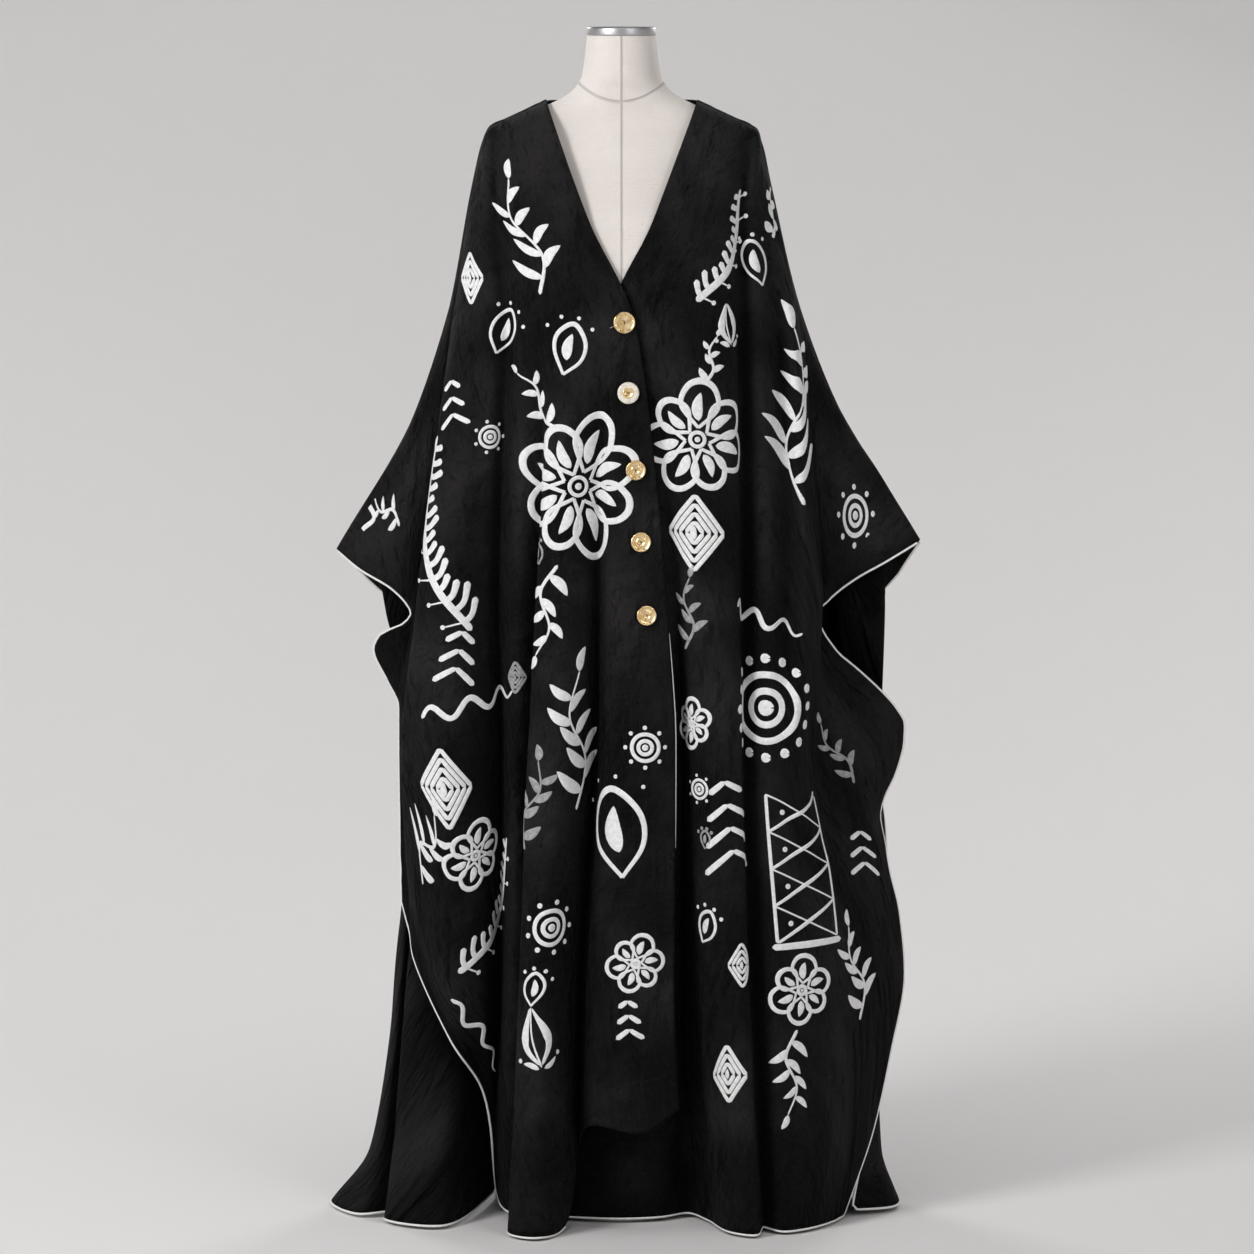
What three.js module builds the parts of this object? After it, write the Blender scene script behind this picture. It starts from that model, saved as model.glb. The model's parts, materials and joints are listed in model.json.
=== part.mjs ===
// An open-front kaftan of black linen with white piping and five buttons, on a limbless dress form.
// Millimetres, +Z up, the front faces -Y. The origin is on the floor, under the middle of the form.
import * as THREE from 'three';

// Driving dimensions
const CLOTH = 2;             // thickness of the cloth wall
const SEAM_GAP = 0.3;        // space between neighbouring pieces
const PIPING = 1.8;            // half the width of the piping
const PIPING_GAP = 0.5;     // space between the piping and the edge that it binds
const CORNER_REACH = 1.4;    // how much further out the piping goes at a corner
const HEM_LIFT = 3;          // room under the hems for their piping
const ROLL = 1.8;            // how fully the cloth rounds the shoulder, 2 being a quarter circle
const FORM_CLEARANCE = 1.4;  // cloth to dress form, so that flat facets stay apart
const ACROSS_STEPS = 2;      // mesh steps between one fold line and the next

const NECK_X = 107;          // neck point of the shoulder seam
const NECK_Z = 1618;
const CORNER_X = 192;        // shoulder corner, where the sleeve starts to fall
const CORNER_Z = 1579;

const BUTTON_RADIUS = 15.5;
const BUTTON_THICKNESS = 3.6;
const BUTTON_SIDES = 20;

const CAP_RADIUS = 49.5;
const CAP_BOTTOM = 1711.6;
const CAP_TOP = 1723;
const FORM_SIDES = 32;
const FORM_RINGS_PER_STEP = 1;
const POLE_RADIUS = 12.5;
const BASE_RADIUS = 95;
const BASE_HEIGHT = 7;

// Heights that every fold line is given at, and how far down the mesh each one comes
const LEVELS = { chest: 1450, bust: 1300, elbow: 880, thigh: 690, knee: 350, ankle: 90 };
const DOWN = { chest: 0.16, bust: 0.3, elbow: 0.52, thigh: 0.66, knee: 0.84, ankle: 0.95 };
const ROWS_DOWN = [0, 0.01, 0.03, 0.06, 0.11, 0.16, 0.23, 0.3, 0.38, 0.45, 0.49, 0.52, 0.54, 0.56, 0.585,
  0.615, 0.66, 0.72, 0.78, 0.84, 0.9, 0.95, 0.98, 1];

// Height of the shoulder seam at a distance from the middle
const shoulder = (x) => NECK_Z - (Math.abs(x) - NECK_X) * (NECK_Z - CORNER_Z) / (CORNER_X - NECK_X);
const onShoulder = (x) => [x, 0, shoulder(x)];

// Wearer's right front, which laps over: fold lines from the lapping edge out to the side edge.
// top and hem are [x, y, z]; the levels between them are [x, y].
const FRONT_RIGHT = [
  { fold: 'lapping edge', top: onShoulder(-107), chest: [-45, -113], bust: [21, -138], elbow: [66, -160],
    thigh: [76, -172], knee: [75, -184], hem: [82, -186, 182] },
  { fold: 'centre crest', top: onShoulder(-113), chest: [-55, -112], bust: [4, -139], elbow: [27, -168],
    thigh: [34, -184], knee: [27, -198], hem: [28, -205, 152] },
  { fold: 'centre panel edge', top: onShoulder(-119), chest: [-67, -110], bust: [-14, -138], elbow: [-18, -155],
    thigh: [-20, -165], knee: [-40, -175], hem: [-43, -180, 157] },
  { fold: 'centre trough', top: onShoulder(-125), chest: [-77, -108], bust: [-28, -136], elbow: [-34, -128],
    thigh: [-37, -124], knee: [-57, -116], hem: [-62, -112, 105] },
  { fold: 'front fold inner edge', top: onShoulder(-132), chest: [-90, -105], bust: [-48, -135], elbow: [-53, -152],
    thigh: [-62, -165], knee: [-79, -172], hem: [-83, -170, 8] },
  { fold: 'front fold crest', top: onShoulder(-141), chest: [-105, -101], bust: [-72, -133], elbow: [-86, -172],
    thigh: [-95, -190], knee: [-111, -208], hem: [-121, -222, 4] },
  { fold: 'front fold outer edge', top: onShoulder(-150), chest: [-120, -95], bust: [-98, -127], elbow: [-121, -158],
    thigh: [-131, -172], knee: [-144, -186], hem: [-160, -195, 4] },
  { fold: 'trough behind it', top: onShoulder(-157), chest: [-130, -91], bust: [-110, -122], elbow: [-114, -124],
    thigh: [-121, -128], knee: [-133, -130], hem: [-148, -125, 14] },
  { fold: 'middle layer', top: onShoulder(-168), chest: [-151, -82], bust: [-139, -114], elbow: [-150, -130],
    thigh: [-152, -132], knee: [-159, -122], hem: [-166, -100, 16] },
  { fold: 'side valley', top: onShoulder(-180), chest: [-177, -62], bust: [-162, -86], elbow: [-176, -92],
    thigh: [-173, -88], knee: [-176, -65], hem: [-180, -38, 26] },
  { fold: 'side fold inner edge', top: onShoulder(-187), chest: [-191, -62], bust: [-184, -94], elbow: [-193, -112],
    thigh: [-193, -118], knee: [-195, -100], hem: [-199, -55, 178] },
  { fold: 'side fold crest', top: [-194, 0, 1570], chest: [-205, -48], bust: [-212, -84], elbow: [-246, -132],
    thigh: [-253, -142], knee: [-246, -118], hem: [-244, -92, 262] },
  { fold: 'side fold outer edge', top: [-203, 0, 1541], chest: [-216, -30], bust: [-238, -50], elbow: [-294, -95],
    thigh: [-315, -88], hem: [-299, -66, 380] },
  { fold: 'sleeve valley', top: [-216, 0, 1482], bust: [-242, -22], elbow: [-287, -48],
    thigh: [-308, -52], hem: [-305, -52, 415] },
  { fold: 'sleeve roll', top: [-251, 0, 1302], elbow: [-292, -42], thigh: [-311, -42], hem: [-309, -47, 430] },
  { fold: 'sleeve face', top: [-304, 0, 1152], elbow: [-297, -38], thigh: [-315, -34], hem: [-313, -42, 444] },
  { fold: 'side edge', top: [-412, 0, 972], via: [[-378, -12, 945], [-330, -24, 917], [-308, -32, 895]],
    elbow: [-302, -35], after: [[-312, -30, 866], [-348, -19, 848], [-357, -14, 828], [-338, -18, 785],
      [-320, -22, 745]], thigh: [-320, -26], hem: [-317, -36, 458] },
];

// Wearer's left front, which lies under: fold lines from the under edge out to the side edge
const FRONT_LEFT = [
  { fold: 'under edge', top: onShoulder(108), chest: [44, -110], bust: [-14, -128], elbow: [10, -148],
    thigh: [8, -150], knee: [-26, -132], ankle: [-72, -98], hem: [-104, -92, 6] },
  { fold: 'under layer', top: onShoulder(112), chest: [53, -110], bust: [10, -129], elbow: [40, -150],
    thigh: [42, -156], knee: [34, -150], ankle: [14, -116], hem: [-8, -108, 6] },
  { fold: 'behind the lap', top: onShoulder(117), chest: [62, -109], bust: [36, -130], elbow: [64, -148],
    thigh: [74, -146], knee: [74, -118], ankle: [62, -100], hem: [56, -98, 6] },
  { fold: 'centre trough', top: onShoulder(122), chest: [71, -107], bust: [54, -131], elbow: [80, -137],
    thigh: [87, -130], knee: [87, -98], ankle: [92, -78], hem: [98, -72, 6] },
  { fold: 'panel inner side', top: onShoulder(130), chest: [84, -104], bust: [74, -131], elbow: [98, -154],
    thigh: [102, -158], knee: [110, -150], ankle: [120, -124], hem: [126, -112, 5] },
  { fold: 'panel crest', top: onShoulder(145), chest: [110, -97], bust: [110, -127], elbow: [128, -165],
    thigh: [131, -180], knee: [141, -185], hem: [157, -185, 4] },
  { fold: 'panel hard edge', top: onShoulder(170), chest: [149, -80], bust: [154, -108], elbow: [162, -150],
    thigh: [166, -175], knee: [176, -190], hem: [192, -205, 4] },
  { fold: 'shoulder valley', top: onShoulder(184), chest: [170, -54], bust: [170, -74], elbow: [173, -108],
    thigh: [174, -140], knee: [186, -152], hem: [204, -162, 6] },
  { fold: 'second fold crest', top: [194, 0, 1576], chest: [185, -57], bust: [196, -82], elbow: [209, -130],
    thigh: [210, -160], knee: [222, -170], hem: [232, -182, 4] },
  { fold: 'second fold outer edge', top: [200, 0, 1555], chest: [199, -42], bust: [222, -52], elbow: [240, -108],
    thigh: [230, -156], knee: [258, -157], hem: [262, -168, 4] },
  { fold: 'third fold crest', top: [212, 0, 1500], chest: [212, -24], bust: [243, -54], elbow: [263, -122],
    thigh: [246, -152], knee: [298, -134], hem: [285, -146, 4] },
  { fold: 'third fold outer edge', top: [226, 0, 1437], bust: [254, -30], elbow: [280, -94],
    thigh: [258, -134], knee: [328, -104], hem: [299, -127, 4] },
  { fold: 'sleeve valley', top: [250, 0, 1340], elbow: [286, -54], thigh: [276, -76], knee: [354, -74],
    hem: [308, -112, 4] },
  { fold: 'sleeve roll', top: [300, 0, 1200], elbow: [275, -48], thigh: [330, -46], knee: [383, -42],
    hem: [316, -98, 5] },
  { fold: 'side edge', top: [432, 0, 985], via: [[380, -12, 955], [337, -22, 932], [299, -34, 904]],
    elbow: [281, -40], after: [[286, -40, 862], [312, -34, 824], [344, -24, 795], [375, -14, 765],
      [398, -8, 738], [409, -4, 716]], thigh: [408, -4],
    later: [[396, -6, 645], [379, -8, 608], [374, -8, 583], [378, -8, 556], [388, -8, 500], [402, -9, 440]],
    knee: [410, -12], last: [[391, -30, 242], [366, -48, 130]], hem: [322, -82, 5] },
];

// Back: fold lines from the wearer's right side edge across to the left one
const BACK = [
  { fold: 'right side edge', top: [-412, 0, 972], via: [[-372, 12, 932]], elbow: [-330, 34], thigh: [-300, 66],
    knee: [-318, 62], ankle: [-350, 66], hem: [-392, 62, 8] },
  { fold: 'right corner', top: [-360, 0, 1053], elbow: [-343, 14], thigh: [-308, 40], knee: [-330, 20],
    ankle: [-369, 10], hem: [-427, 15, 4] },
  { fold: 'right corner front', top: [-304, 0, 1152], elbow: [-306, 26], thigh: [-298, 36], knee: [-321, -8],
    ankle: [-350, -58], hem: [-382, -76, 5] },
  { fold: 'right tuck', top: [-240, 0, 1345], elbow: [-290, 32], thigh: [-285, 48], knee: [-306, 2],
    ankle: [-322, -52], hem: [-332, -72, 8] },
  { fold: 'right wing edge', top: [-212, 0, 1500], bust: [-244, 28], elbow: [-282, 72], thigh: [-288, 34],
    knee: [-312, -28], ankle: [-334, -86], hem: [-344, -106, 5] },
  { fold: 'right wing crest', top: [-197, 0, 1562], chest: [-212, 30], bust: [-232, 58], elbow: [-248, 62],
    thigh: [-262, 40], knee: [-276, -30], ankle: [-292, -122], hem: [-300, -146, 5] },
  { fold: 'right wing inner side', top: onShoulder(-186), chest: [-196, 46], bust: [-212, 60], elbow: [-218, 100],
    thigh: [-228, 66], knee: [-232, -10], ankle: [-248, -122], hem: [-254, -148, 5] },
  { fold: 'right valley', top: onShoulder(-166), chest: [-172, 64], bust: [-186, 82], elbow: [-180, 86],
    thigh: [-184, 84], knee: [-190, 62], ankle: [-192, 46], hem: [-192, 40, 8] },
  { fold: 'right back fold', top: onShoulder(-140), chest: [-146, 84], bust: [-154, 92], elbow: [-147, 128],
    thigh: [-156, 142], knee: [-168, 150], hem: [-180, 150, 6] },
  { fold: 'right back trough', top: onShoulder(-115), chest: [-116, 97], bust: [-116, 104], elbow: [-107, 112],
    thigh: [-112, 114], knee: [-120, 118], hem: [-128, 122, 8] },
  { fold: 'right centre fold', top: [-84, 50, 1616], chest: [-76, 106], bust: [-68, 121], elbow: [-60, 145],
    thigh: [-62, 160], knee: [-66, 180], hem: [-72, 192, 6] },
  { fold: 'centre back', top: [-4, 78, 1611], chest: [-6, 112], bust: [-6, 118], elbow: [-4, 124],
    thigh: [-3, 128], knee: [0, 138], hem: [2, 153, 10] },
  { fold: 'left centre fold', top: [78, 54, 1616], chest: [68, 107], bust: [62, 121], elbow: [62, 141],
    thigh: [66, 153], knee: [72, 170], hem: [78, 186, 6] },
  { fold: 'left back trough', top: onShoulder(113), chest: [110, 98], bust: [108, 104], elbow: [104, 108],
    thigh: [108, 108], knee: [114, 114], hem: [120, 122, 10] },
  { fold: 'left back fold', top: onShoulder(138), chest: [142, 85], bust: [150, 94], elbow: [152, 130],
    thigh: [162, 145], knee: [174, 160], hem: [186, 168, 6] },
  { fold: 'left valley', top: onShoulder(164), chest: [170, 64], bust: [184, 72], elbow: [184, 80],
    thigh: [192, 82], knee: [206, 88], hem: [216, 94, 8] },
  { fold: 'left wing fold', top: onShoulder(186), chest: [196, 46], bust: [212, 66], elbow: [226, 106],
    thigh: [242, 118], knee: [264, 126], hem: [288, 126, 6] },
  { fold: 'left wing trough', top: [199, 0, 1560], chest: [212, 28], bust: [232, 44], elbow: [258, 60],
    thigh: [274, 68], knee: [302, 66], hem: [324, 58, 8] },
  { fold: 'left wing crest', top: [214, 0, 1495], bust: [250, 26], elbow: [298, 74], thigh: [314, 82],
    knee: [342, 80], hem: [366, 70, 6] },
  { fold: 'left tuck', top: [256, 0, 1320], elbow: [318, 34], thigh: [330, 44], knee: [346, 50],
    hem: [378, 46, 8] },
  { fold: 'left corner back', top: [318, 0, 1165], elbow: [346, 25], thigh: [353, 32], knee: [362, 34],
    ankle: [378, 30], hem: [404, 16, 6] },
  { fold: 'left corner', top: [374, 0, 1078], elbow: [382, 6], thigh: [377, 8], knee: [372, -4],
    ankle: [376, -14], hem: [396, -34, 6] },
  { fold: 'left side edge', top: [432, 0, 985], via: [[404, 12, 940]], elbow: [374, 30], thigh: [373, 36],
    later: [[385, 8, 520]], knee: [366, -30], ankle: [350, -46], hem: [336, -64, 8] },
];

// Dress form: half width, depth to the front and depth to the back, at each height
const FORM = [
  { z: 800, side: 150, front: 96, back: 104 },
  { z: 812, side: 168, front: 108, back: 118 },
  { z: 860, side: 172, front: 112, back: 122 },
  { z: 940, side: 166, front: 112, back: 118 },
  { z: 1040, side: 140, front: 102, back: 98 },
  { z: 1120, side: 124, front: 94, back: 82 },
  { z: 1200, side: 132, front: 102, back: 88 },
  { z: 1300, side: 152, front: 122, back: 99 },
  { z: 1370, side: 164, front: 124, back: 104 },
  { z: 1440, side: 176, front: 113, back: 106 },
  { z: 1500, side: 186, front: 98, back: 103 },
  { z: 1545, side: 188, front: 80, back: 86 },
  { z: 1566, side: 184, front: 66, back: 72 },
  { z: 1582, side: 168, front: 56, back: 61 },
  { z: 1598, side: 138, front: 50, back: 54 },
  { z: 1612, side: 106, front: 49, back: 53 },
  { z: 1624, side: 82, front: 50, back: 54 },
  { z: 1636, side: 67, front: 51, back: 54 },
  { z: 1653, side: 57, front: 54, back: 58 },
  { z: 1676, side: 53, front: 52, back: 53 },
  { z: 1711.3, side: 49, front: 49, back: 49 },
];

// Buttons: height on the lap and distance in from its edge
const BUTTONS = [
  { z: 1309, inset: 15 },
  { z: 1210, inset: 26 },
  { z: 1101, inset: 28 },
  { z: 999, inset: 30 },
  { z: 895, inset: 30 },
];

// Slopes of a smooth line through stations that never overshoots them
function slopes(t, v) {
  const n = t.length;
  const rise = [];
  for (let i = 0; i < n - 1; i += 1) rise.push((v[i + 1] - v[i]) / (t[i + 1] - t[i]));
  const m = [rise[0]];
  for (let i = 1; i < n - 1; i += 1) {
    const turns = rise[i - 1] * rise[i] <= 0;
    m.push(turns ? 0 : (2 * rise[i - 1] * rise[i]) / (rise[i - 1] + rise[i]));
  }
  m.push(rise[n - 2]);
  return m;
}

function smooth(t, v, m, at) {
  let i = 0;
  while (i < t.length - 2 && at > t[i + 1]) i += 1;
  const h = t[i + 1] - t[i];
  const s = (at - t[i]) / h;
  const a = (1 + 2 * s) * (1 - s) * (1 - s);
  const b = s * (1 - s) * (1 - s);
  const c = s * s * (3 - 2 * s);
  const d = s * s * (s - 1);
  return a * v[i] + b * h * m[i] + c * v[i + 1] + d * h * m[i + 1];
}

// Stations of one fold line, each with how far down the mesh it comes
function stationsOf(row) {
  const known = [{ t: 0, p: row.top }];
  for (const name of Object.keys(LEVELS)) {
    if (row[name]) known.push({ t: DOWN[name], p: [...row[name], LEVELS[name]] });
  }
  known.push({ t: 1, p: [row.hem[0], row.hem[1], row.hem[2] + HEM_LIFT] });
  const extra = [row.via, row.after, row.later, row.last].flatMap((list) => list ?? []);
  for (const p of extra) {
    const below = known.findIndex((k) => k.p[2] < p[2]);
    const [a, b] = [known[below - 1], known[below]];
    const t = a.t + (b.t - a.t) * (a.p[2] - p[2]) / (a.p[2] - b.p[2]);
    known.splice(below, 0, { t, p });
  }
  return known;
}

// A fold line as a function of how far down the mesh a point comes.
// Under the top it rolls over the shoulder or the overarm like cloth over a rounded edge.
function foldLine(row) {
  const known = stationsOf(row);
  const t = known.map((k) => k.t);
  const axes = [0, 1, 2].map((axis) => known.map((k) => k.p[axis]));
  const m = axes.map((v) => slopes(t, v));
  const rolls = !row.via;
  return (at) => {
    const p = axes.map((v, axis) => smooth(t, v, m[axis], at));
    if (at < t[1]) {
      p[2] = axes[2][0] + (axes[2][1] - axes[2][0]) * at / t[1];
      const left = 1 - at / t[1];
      const reach = Math.sqrt(Math.max(0, 1 - left ** ROLL));
      if (rolls) p[1] = axes[1][0] + (axes[1][1] - axes[1][0]) * reach;
    }
    return p;
  };
}

// Depth of the dress form in front of or behind its middle plane, at a height and a distance to the side
function formSection(z) {
  let i = 0;
  while (i < FORM.length - 2 && z > FORM[i + 1].z) i += 1;
  const s = THREE.MathUtils.clamp((z - FORM[i].z) / (FORM[i + 1].z - FORM[i].z), 0, 1);
  const mix = (key) => FORM[i][key] + (FORM[i + 1][key] - FORM[i][key]) * s;
  return { side: mix('side'), front: mix('front'), back: mix('back') };
}

function clearOfForm(p, facing) {
  if (p.z > FORM.at(-1).z || p.z < FORM[0].z) return p;
  const section = formSection(p.z);
  const across = p.x / (section.side + FORM_CLEARANCE);
  if (Math.abs(across) >= 1) return p;
  const depth = (facing < 0 ? section.front : section.back) + FORM_CLEARANCE;
  const least = depth * Math.sqrt(1 - across * across);
  p.y = facing < 0 ? Math.min(p.y, -least) : Math.max(p.y, least);
  return p;
}

// A grid of points over a panel: one line of points for each step across, from top to hem.
// facing is -1 for a front and 1 for the back.
function panelGrid(rows, facing) {
  const lines = rows.map(foldLine);
  const steps = (rows.length - 1) * ACROSS_STEPS;
  const grid = Array.from({ length: steps + 1 }, () => []);
  for (const t of ROWS_DOWN) {
    const section = new THREE.CatmullRomCurve3(lines.map((line) => new THREE.Vector3(...line(t))));
    section.curveType = 'centripetal';
    for (let i = 0; i <= steps; i += 1) {
      const p = section.getPoint(i / steps);
      if (t < DOWN.chest) p.y = facing * Math.max(0, facing * p.y) + facing * SEAM_GAP / 2;
      grid[i].push(t === 0 ? p : clearOfForm(p, facing));
    }
  }
  return grid;
}

// Directions away from the body at each point of a grid, given which way its lines run
function outward(grid, turn) {
  const last = grid.length - 1;
  const end = grid[0].length - 1;
  return grid.map((line, i) => line.map((_, j) => {
    const across = grid[Math.min(i + 1, last)][j].clone().sub(grid[Math.max(i - 1, 0)][j]);
    const down = grid[i][Math.min(j + 1, end)].clone().sub(grid[i][Math.max(j - 1, 0)]);
    return across.cross(down).multiplyScalar(turn).normalize();
  }));
}

// A closed body between two grids of the same size
function wallGeometry(inner, outer, turn) {
  const across = inner.length;
  const down = inner[0].length;
  const points = [...inner.flat(), ...outer.flat()];
  const at = (layer, i, j) => layer * across * down + i * down + j;
  const index = [];
  const quad = (a, b, c, d) => {
    if (turn > 0) index.push(a, b, c, a, c, d);
    else index.push(a, c, b, a, d, c);
  };
  for (let i = 0; i < across - 1; i += 1) {
    for (let j = 0; j < down - 1; j += 1) {
      quad(at(1, i, j), at(1, i + 1, j), at(1, i + 1, j + 1), at(1, i, j + 1));
      quad(at(0, i, j), at(0, i, j + 1), at(0, i + 1, j + 1), at(0, i + 1, j));
    }
    quad(at(0, i, 0), at(0, i + 1, 0), at(1, i + 1, 0), at(1, i, 0));
    quad(at(1, i, down - 1), at(1, i + 1, down - 1), at(0, i + 1, down - 1), at(0, i, down - 1));
  }
  for (let j = 0; j < down - 1; j += 1) {
    quad(at(0, 0, j), at(1, 0, j), at(1, 0, j + 1), at(0, 0, j + 1));
    quad(at(1, across - 1, j), at(0, across - 1, j), at(0, across - 1, j + 1), at(1, across - 1, j + 1));
  }
  return indexed(points, index);
}

function indexed(points, index) {
  const geometry = new THREE.BufferGeometry();
  geometry.setAttribute('position', new THREE.Float32BufferAttribute(points.flatMap((p) => p.toArray()), 3));
  geometry.setIndex(index);
  geometry.computeVertexNormals();
  return geometry;
}

// A panel: its grid, the wall on it, and the points halfway through the wall
function makePanel(rows, facing, turn) {
  const inner = panelGrid(rows, facing);
  const away = outward(inner, turn);
  const offset = (amount) => inner.map((line, i) => line.map((p, j) => {
    const moved = p.clone().addScaledVector(away[i][j], amount);
    if (j === 0) moved.y = p.y;
    return moved;
  }));
  const outer = offset(CLOTH);
  return { inner, outer, middle: offset(CLOTH / 2), away, geometry: wallGeometry(inner, outer, turn) };
}

// Piping: a cord of four sides just off the edge of a panel, along a list of [line, step] places.
// Its sides follow on from ring to ring without a twist.
function pipingGeometry(panel, places) {
  const edge = places.map(([i, j]) => panel.middle[i][j]);
  const steps = places.map((_, n) => (
    edge[Math.min(n + 1, edge.length - 1)].clone().sub(edge[Math.max(n - 1, 0)]).normalize()));
  const square = (v, along) => v.addScaledVector(along, -v.dot(along)).normalize();
  const away = places.map(([, , inI, inJ], n) => square(edge[n].clone().sub(panel.middle[inI][inJ]), steps[n]));
  let side = away[0];
  const rings = places.map(([i, j, inI, inJ], n) => {
    const out = away[n].clone().multiplyScalar(2).add(away[Math.max(n - 1, 0)]);
    square(out.add(away[Math.min(n + 1, edge.length - 1)]), steps[n]);
    const corner = inI !== i && inJ !== j;
    const centre = edge[n].clone().addScaledVector(out, (PIPING + PIPING_GAP) * (corner ? CORNER_REACH : 1));
    side = square(side.clone(), steps[n]);
    const up = steps[n].clone().cross(side).normalize();
    return [[1, 0], [0, 1], [-1, 0], [0, -1]].map(([a, b]) => (
      centre.clone().addScaledVector(side, a * PIPING).addScaledVector(up, b * PIPING)));
  });
  const sides = 4;
  const index = [];
  for (let n = 0; n < rings.length - 1; n += 1) {
    for (let k = 0; k < sides; k += 1) {
      const a = n * sides + k;
      const b = n * sides + (k + 1) % sides;
      index.push(a, b, b + sides, a, b + sides, a + sides);
    }
  }
  const last = (rings.length - 1) * sides;
  index.push(0, 2, 1, 0, 3, 2, last, last + 1, last + 2, last, last + 2, last + 3);
  return indexed(rings.flat(), index);
}

const range = (from, to) => {
  const step = from < to ? 1 : -1;
  return Array.from({ length: Math.abs(to - from) + 1 }, (_, k) => from + k * step);
};

// Places along the side edge at line i, from near the top to the corner at the hem
function sidePlaces(panel, i, fromTop) {
  const inward = i === 0 ? 1 : i - 1;
  const end = panel.inner[0].length - 1;
  return [...range(fromTop, end - 1).map((j) => [i, j, inward, j]), [i, end, inward, end - 1]];
}

// Places along the hem between two lines
function hemPlaces(panel, from, to) {
  const j = panel.inner[0].length - 1;
  return range(from, to).map((i) => [i, j, i, j - 1]);
}

function frontPiping(panel, hemEnd) {
  const side = panel.inner.length - 1;
  return pipingGeometry(panel, [...sidePlaces(panel, side, 2), ...hemPlaces(panel, side - 1, hemEnd)]);
}

function backPiping(panel) {
  const side = panel.inner.length - 1;
  const down = sidePlaces(panel, 0, 2);
  const up = sidePlaces(panel, side, 2).reverse();
  return pipingGeometry(panel, [...down, ...hemPlaces(panel, 1, side - 1), ...up]);
}

// The dress form: closed rings, from the hip to the top of the neck
function formGeometry() {
  const t = FORM.map((row) => row.z);
  const m = Object.fromEntries(['side', 'front', 'back'].map((key) => [key, slopes(t, FORM.map((row) => row[key]))]));
  const at = (key, z) => smooth(t, FORM.map((row) => row[key]), m[key], z);
  const points = [];
  const rings = (FORM.length - 1) * FORM_RINGS_PER_STEP;
  for (let r = 0; r <= rings; r += 1) {
    const i = Math.min(Math.floor(r / FORM_RINGS_PER_STEP), FORM.length - 2);
    const z = t[i] + (t[i + 1] - t[i]) * (r / FORM_RINGS_PER_STEP - i);
    for (let k = 0; k < FORM_SIDES; k += 1) {
      const angle = k * 2 * Math.PI / FORM_SIDES;
      const depth = Math.sin(angle) < 0 ? at('front', z) : at('back', z);
      points.push(new THREE.Vector3(at('side', z) * Math.cos(angle), depth * Math.sin(angle), z));
    }
  }
  const index = [];
  for (let r = 0; r < rings; r += 1) {
    for (let k = 0; k < FORM_SIDES; k += 1) {
      const a = r * FORM_SIDES + k;
      const b = r * FORM_SIDES + (k + 1) % FORM_SIDES;
      index.push(a, b, b + FORM_SIDES, a, b + FORM_SIDES, a + FORM_SIDES);
    }
  }
  const top = rings * FORM_SIDES;
  for (let k = 1; k < FORM_SIDES - 1; k += 1) {
    index.push(0, k + 1, k, top, top + k, top + k + 1);
  }
  return indexed(points, index);
}

// A turned piece from a profile of [radius, height], standing on +Z
function turned(profile, sides) {
  const geometry = new THREE.LatheGeometry(profile.map(([r, h]) => new THREE.Vector2(r, h)), sides);
  geometry.rotateX(Math.PI / 2);
  return geometry;
}

const buttonProfile = [[0, 0], [BUTTON_RADIUS - 1, 0], [BUTTON_RADIUS, 1], [BUTTON_RADIUS, 2.6],
  [BUTTON_RADIUS - 1.2, BUTTON_THICKNESS], [BUTTON_RADIUS - 3, BUTTON_THICKNESS], [BUTTON_RADIUS - 4.5, 2.4], [0, 2.4]];

// Where a line at a height and an inset from the lapping edge meets the outside of the right front
function onLap(panel, z, inset) {
  const lines = [0, 1, 2, 3, 4].map((i) => {
    const line = panel.outer[i];
    const j = line.findIndex((p) => p.z < z);
    const s = (line[j - 1].z - z) / (line[j - 1].z - line[j].z);
    return { p: line[j - 1].clone().lerp(line[j], s), n: panel.away[i][j] };
  });
  const x = lines[0].p.x - inset;
  const k = lines.findIndex((line) => line.p.x < x);
  const s = (lines[k - 1].p.x - x) / (lines[k - 1].p.x - lines[k].p.x);
  return { p: lines[k - 1].p.clone().lerp(lines[k].p, s), n: lines[k - 1].n.clone().lerp(lines[k].n, s).normalize() };
}

const LINEN_BLACK = { color: '#121214', roughness: 0.86, metalness: 0 };
const PIPING_WHITE = { color: '#e9e8e3', roughness: 0.7, metalness: 0 };
const LINEN_CREAM = { color: '#dcd5c8', roughness: 0.9, metalness: 0 };
const GOLD = { color: '#c99a45', roughness: 0.28, metalness: 1 };
const STEEL = { color: '#a8a8a8', roughness: 0.35, metalness: 1 };

const kaftan = new THREE.Group();

function add(name, geometry, look, place) {
  const mesh = new THREE.Mesh(geometry, new THREE.MeshStandardMaterial(look));
  mesh.name = name;
  if (place) mesh.position.copy(place);
  kaftan.add(mesh);
  return mesh;
}

const frontRight = makePanel(FRONT_RIGHT, -1, 1);
const frontLeft = makePanel(FRONT_LEFT, -1, -1);
const back = makePanel(BACK, 1, 1);
add('front_right', frontRight.geometry, LINEN_BLACK);
add('front_left', frontLeft.geometry, LINEN_BLACK);
add('back', back.geometry, LINEN_BLACK);

const RIGHT_HEM_END = 4 * ACROSS_STEPS;
add('piping_front_right', frontPiping(frontRight, RIGHT_HEM_END), PIPING_WHITE);
add('piping_front_left', frontPiping(frontLeft, 0), PIPING_WHITE);
add('piping_back', backPiping(back), PIPING_WHITE);

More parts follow.
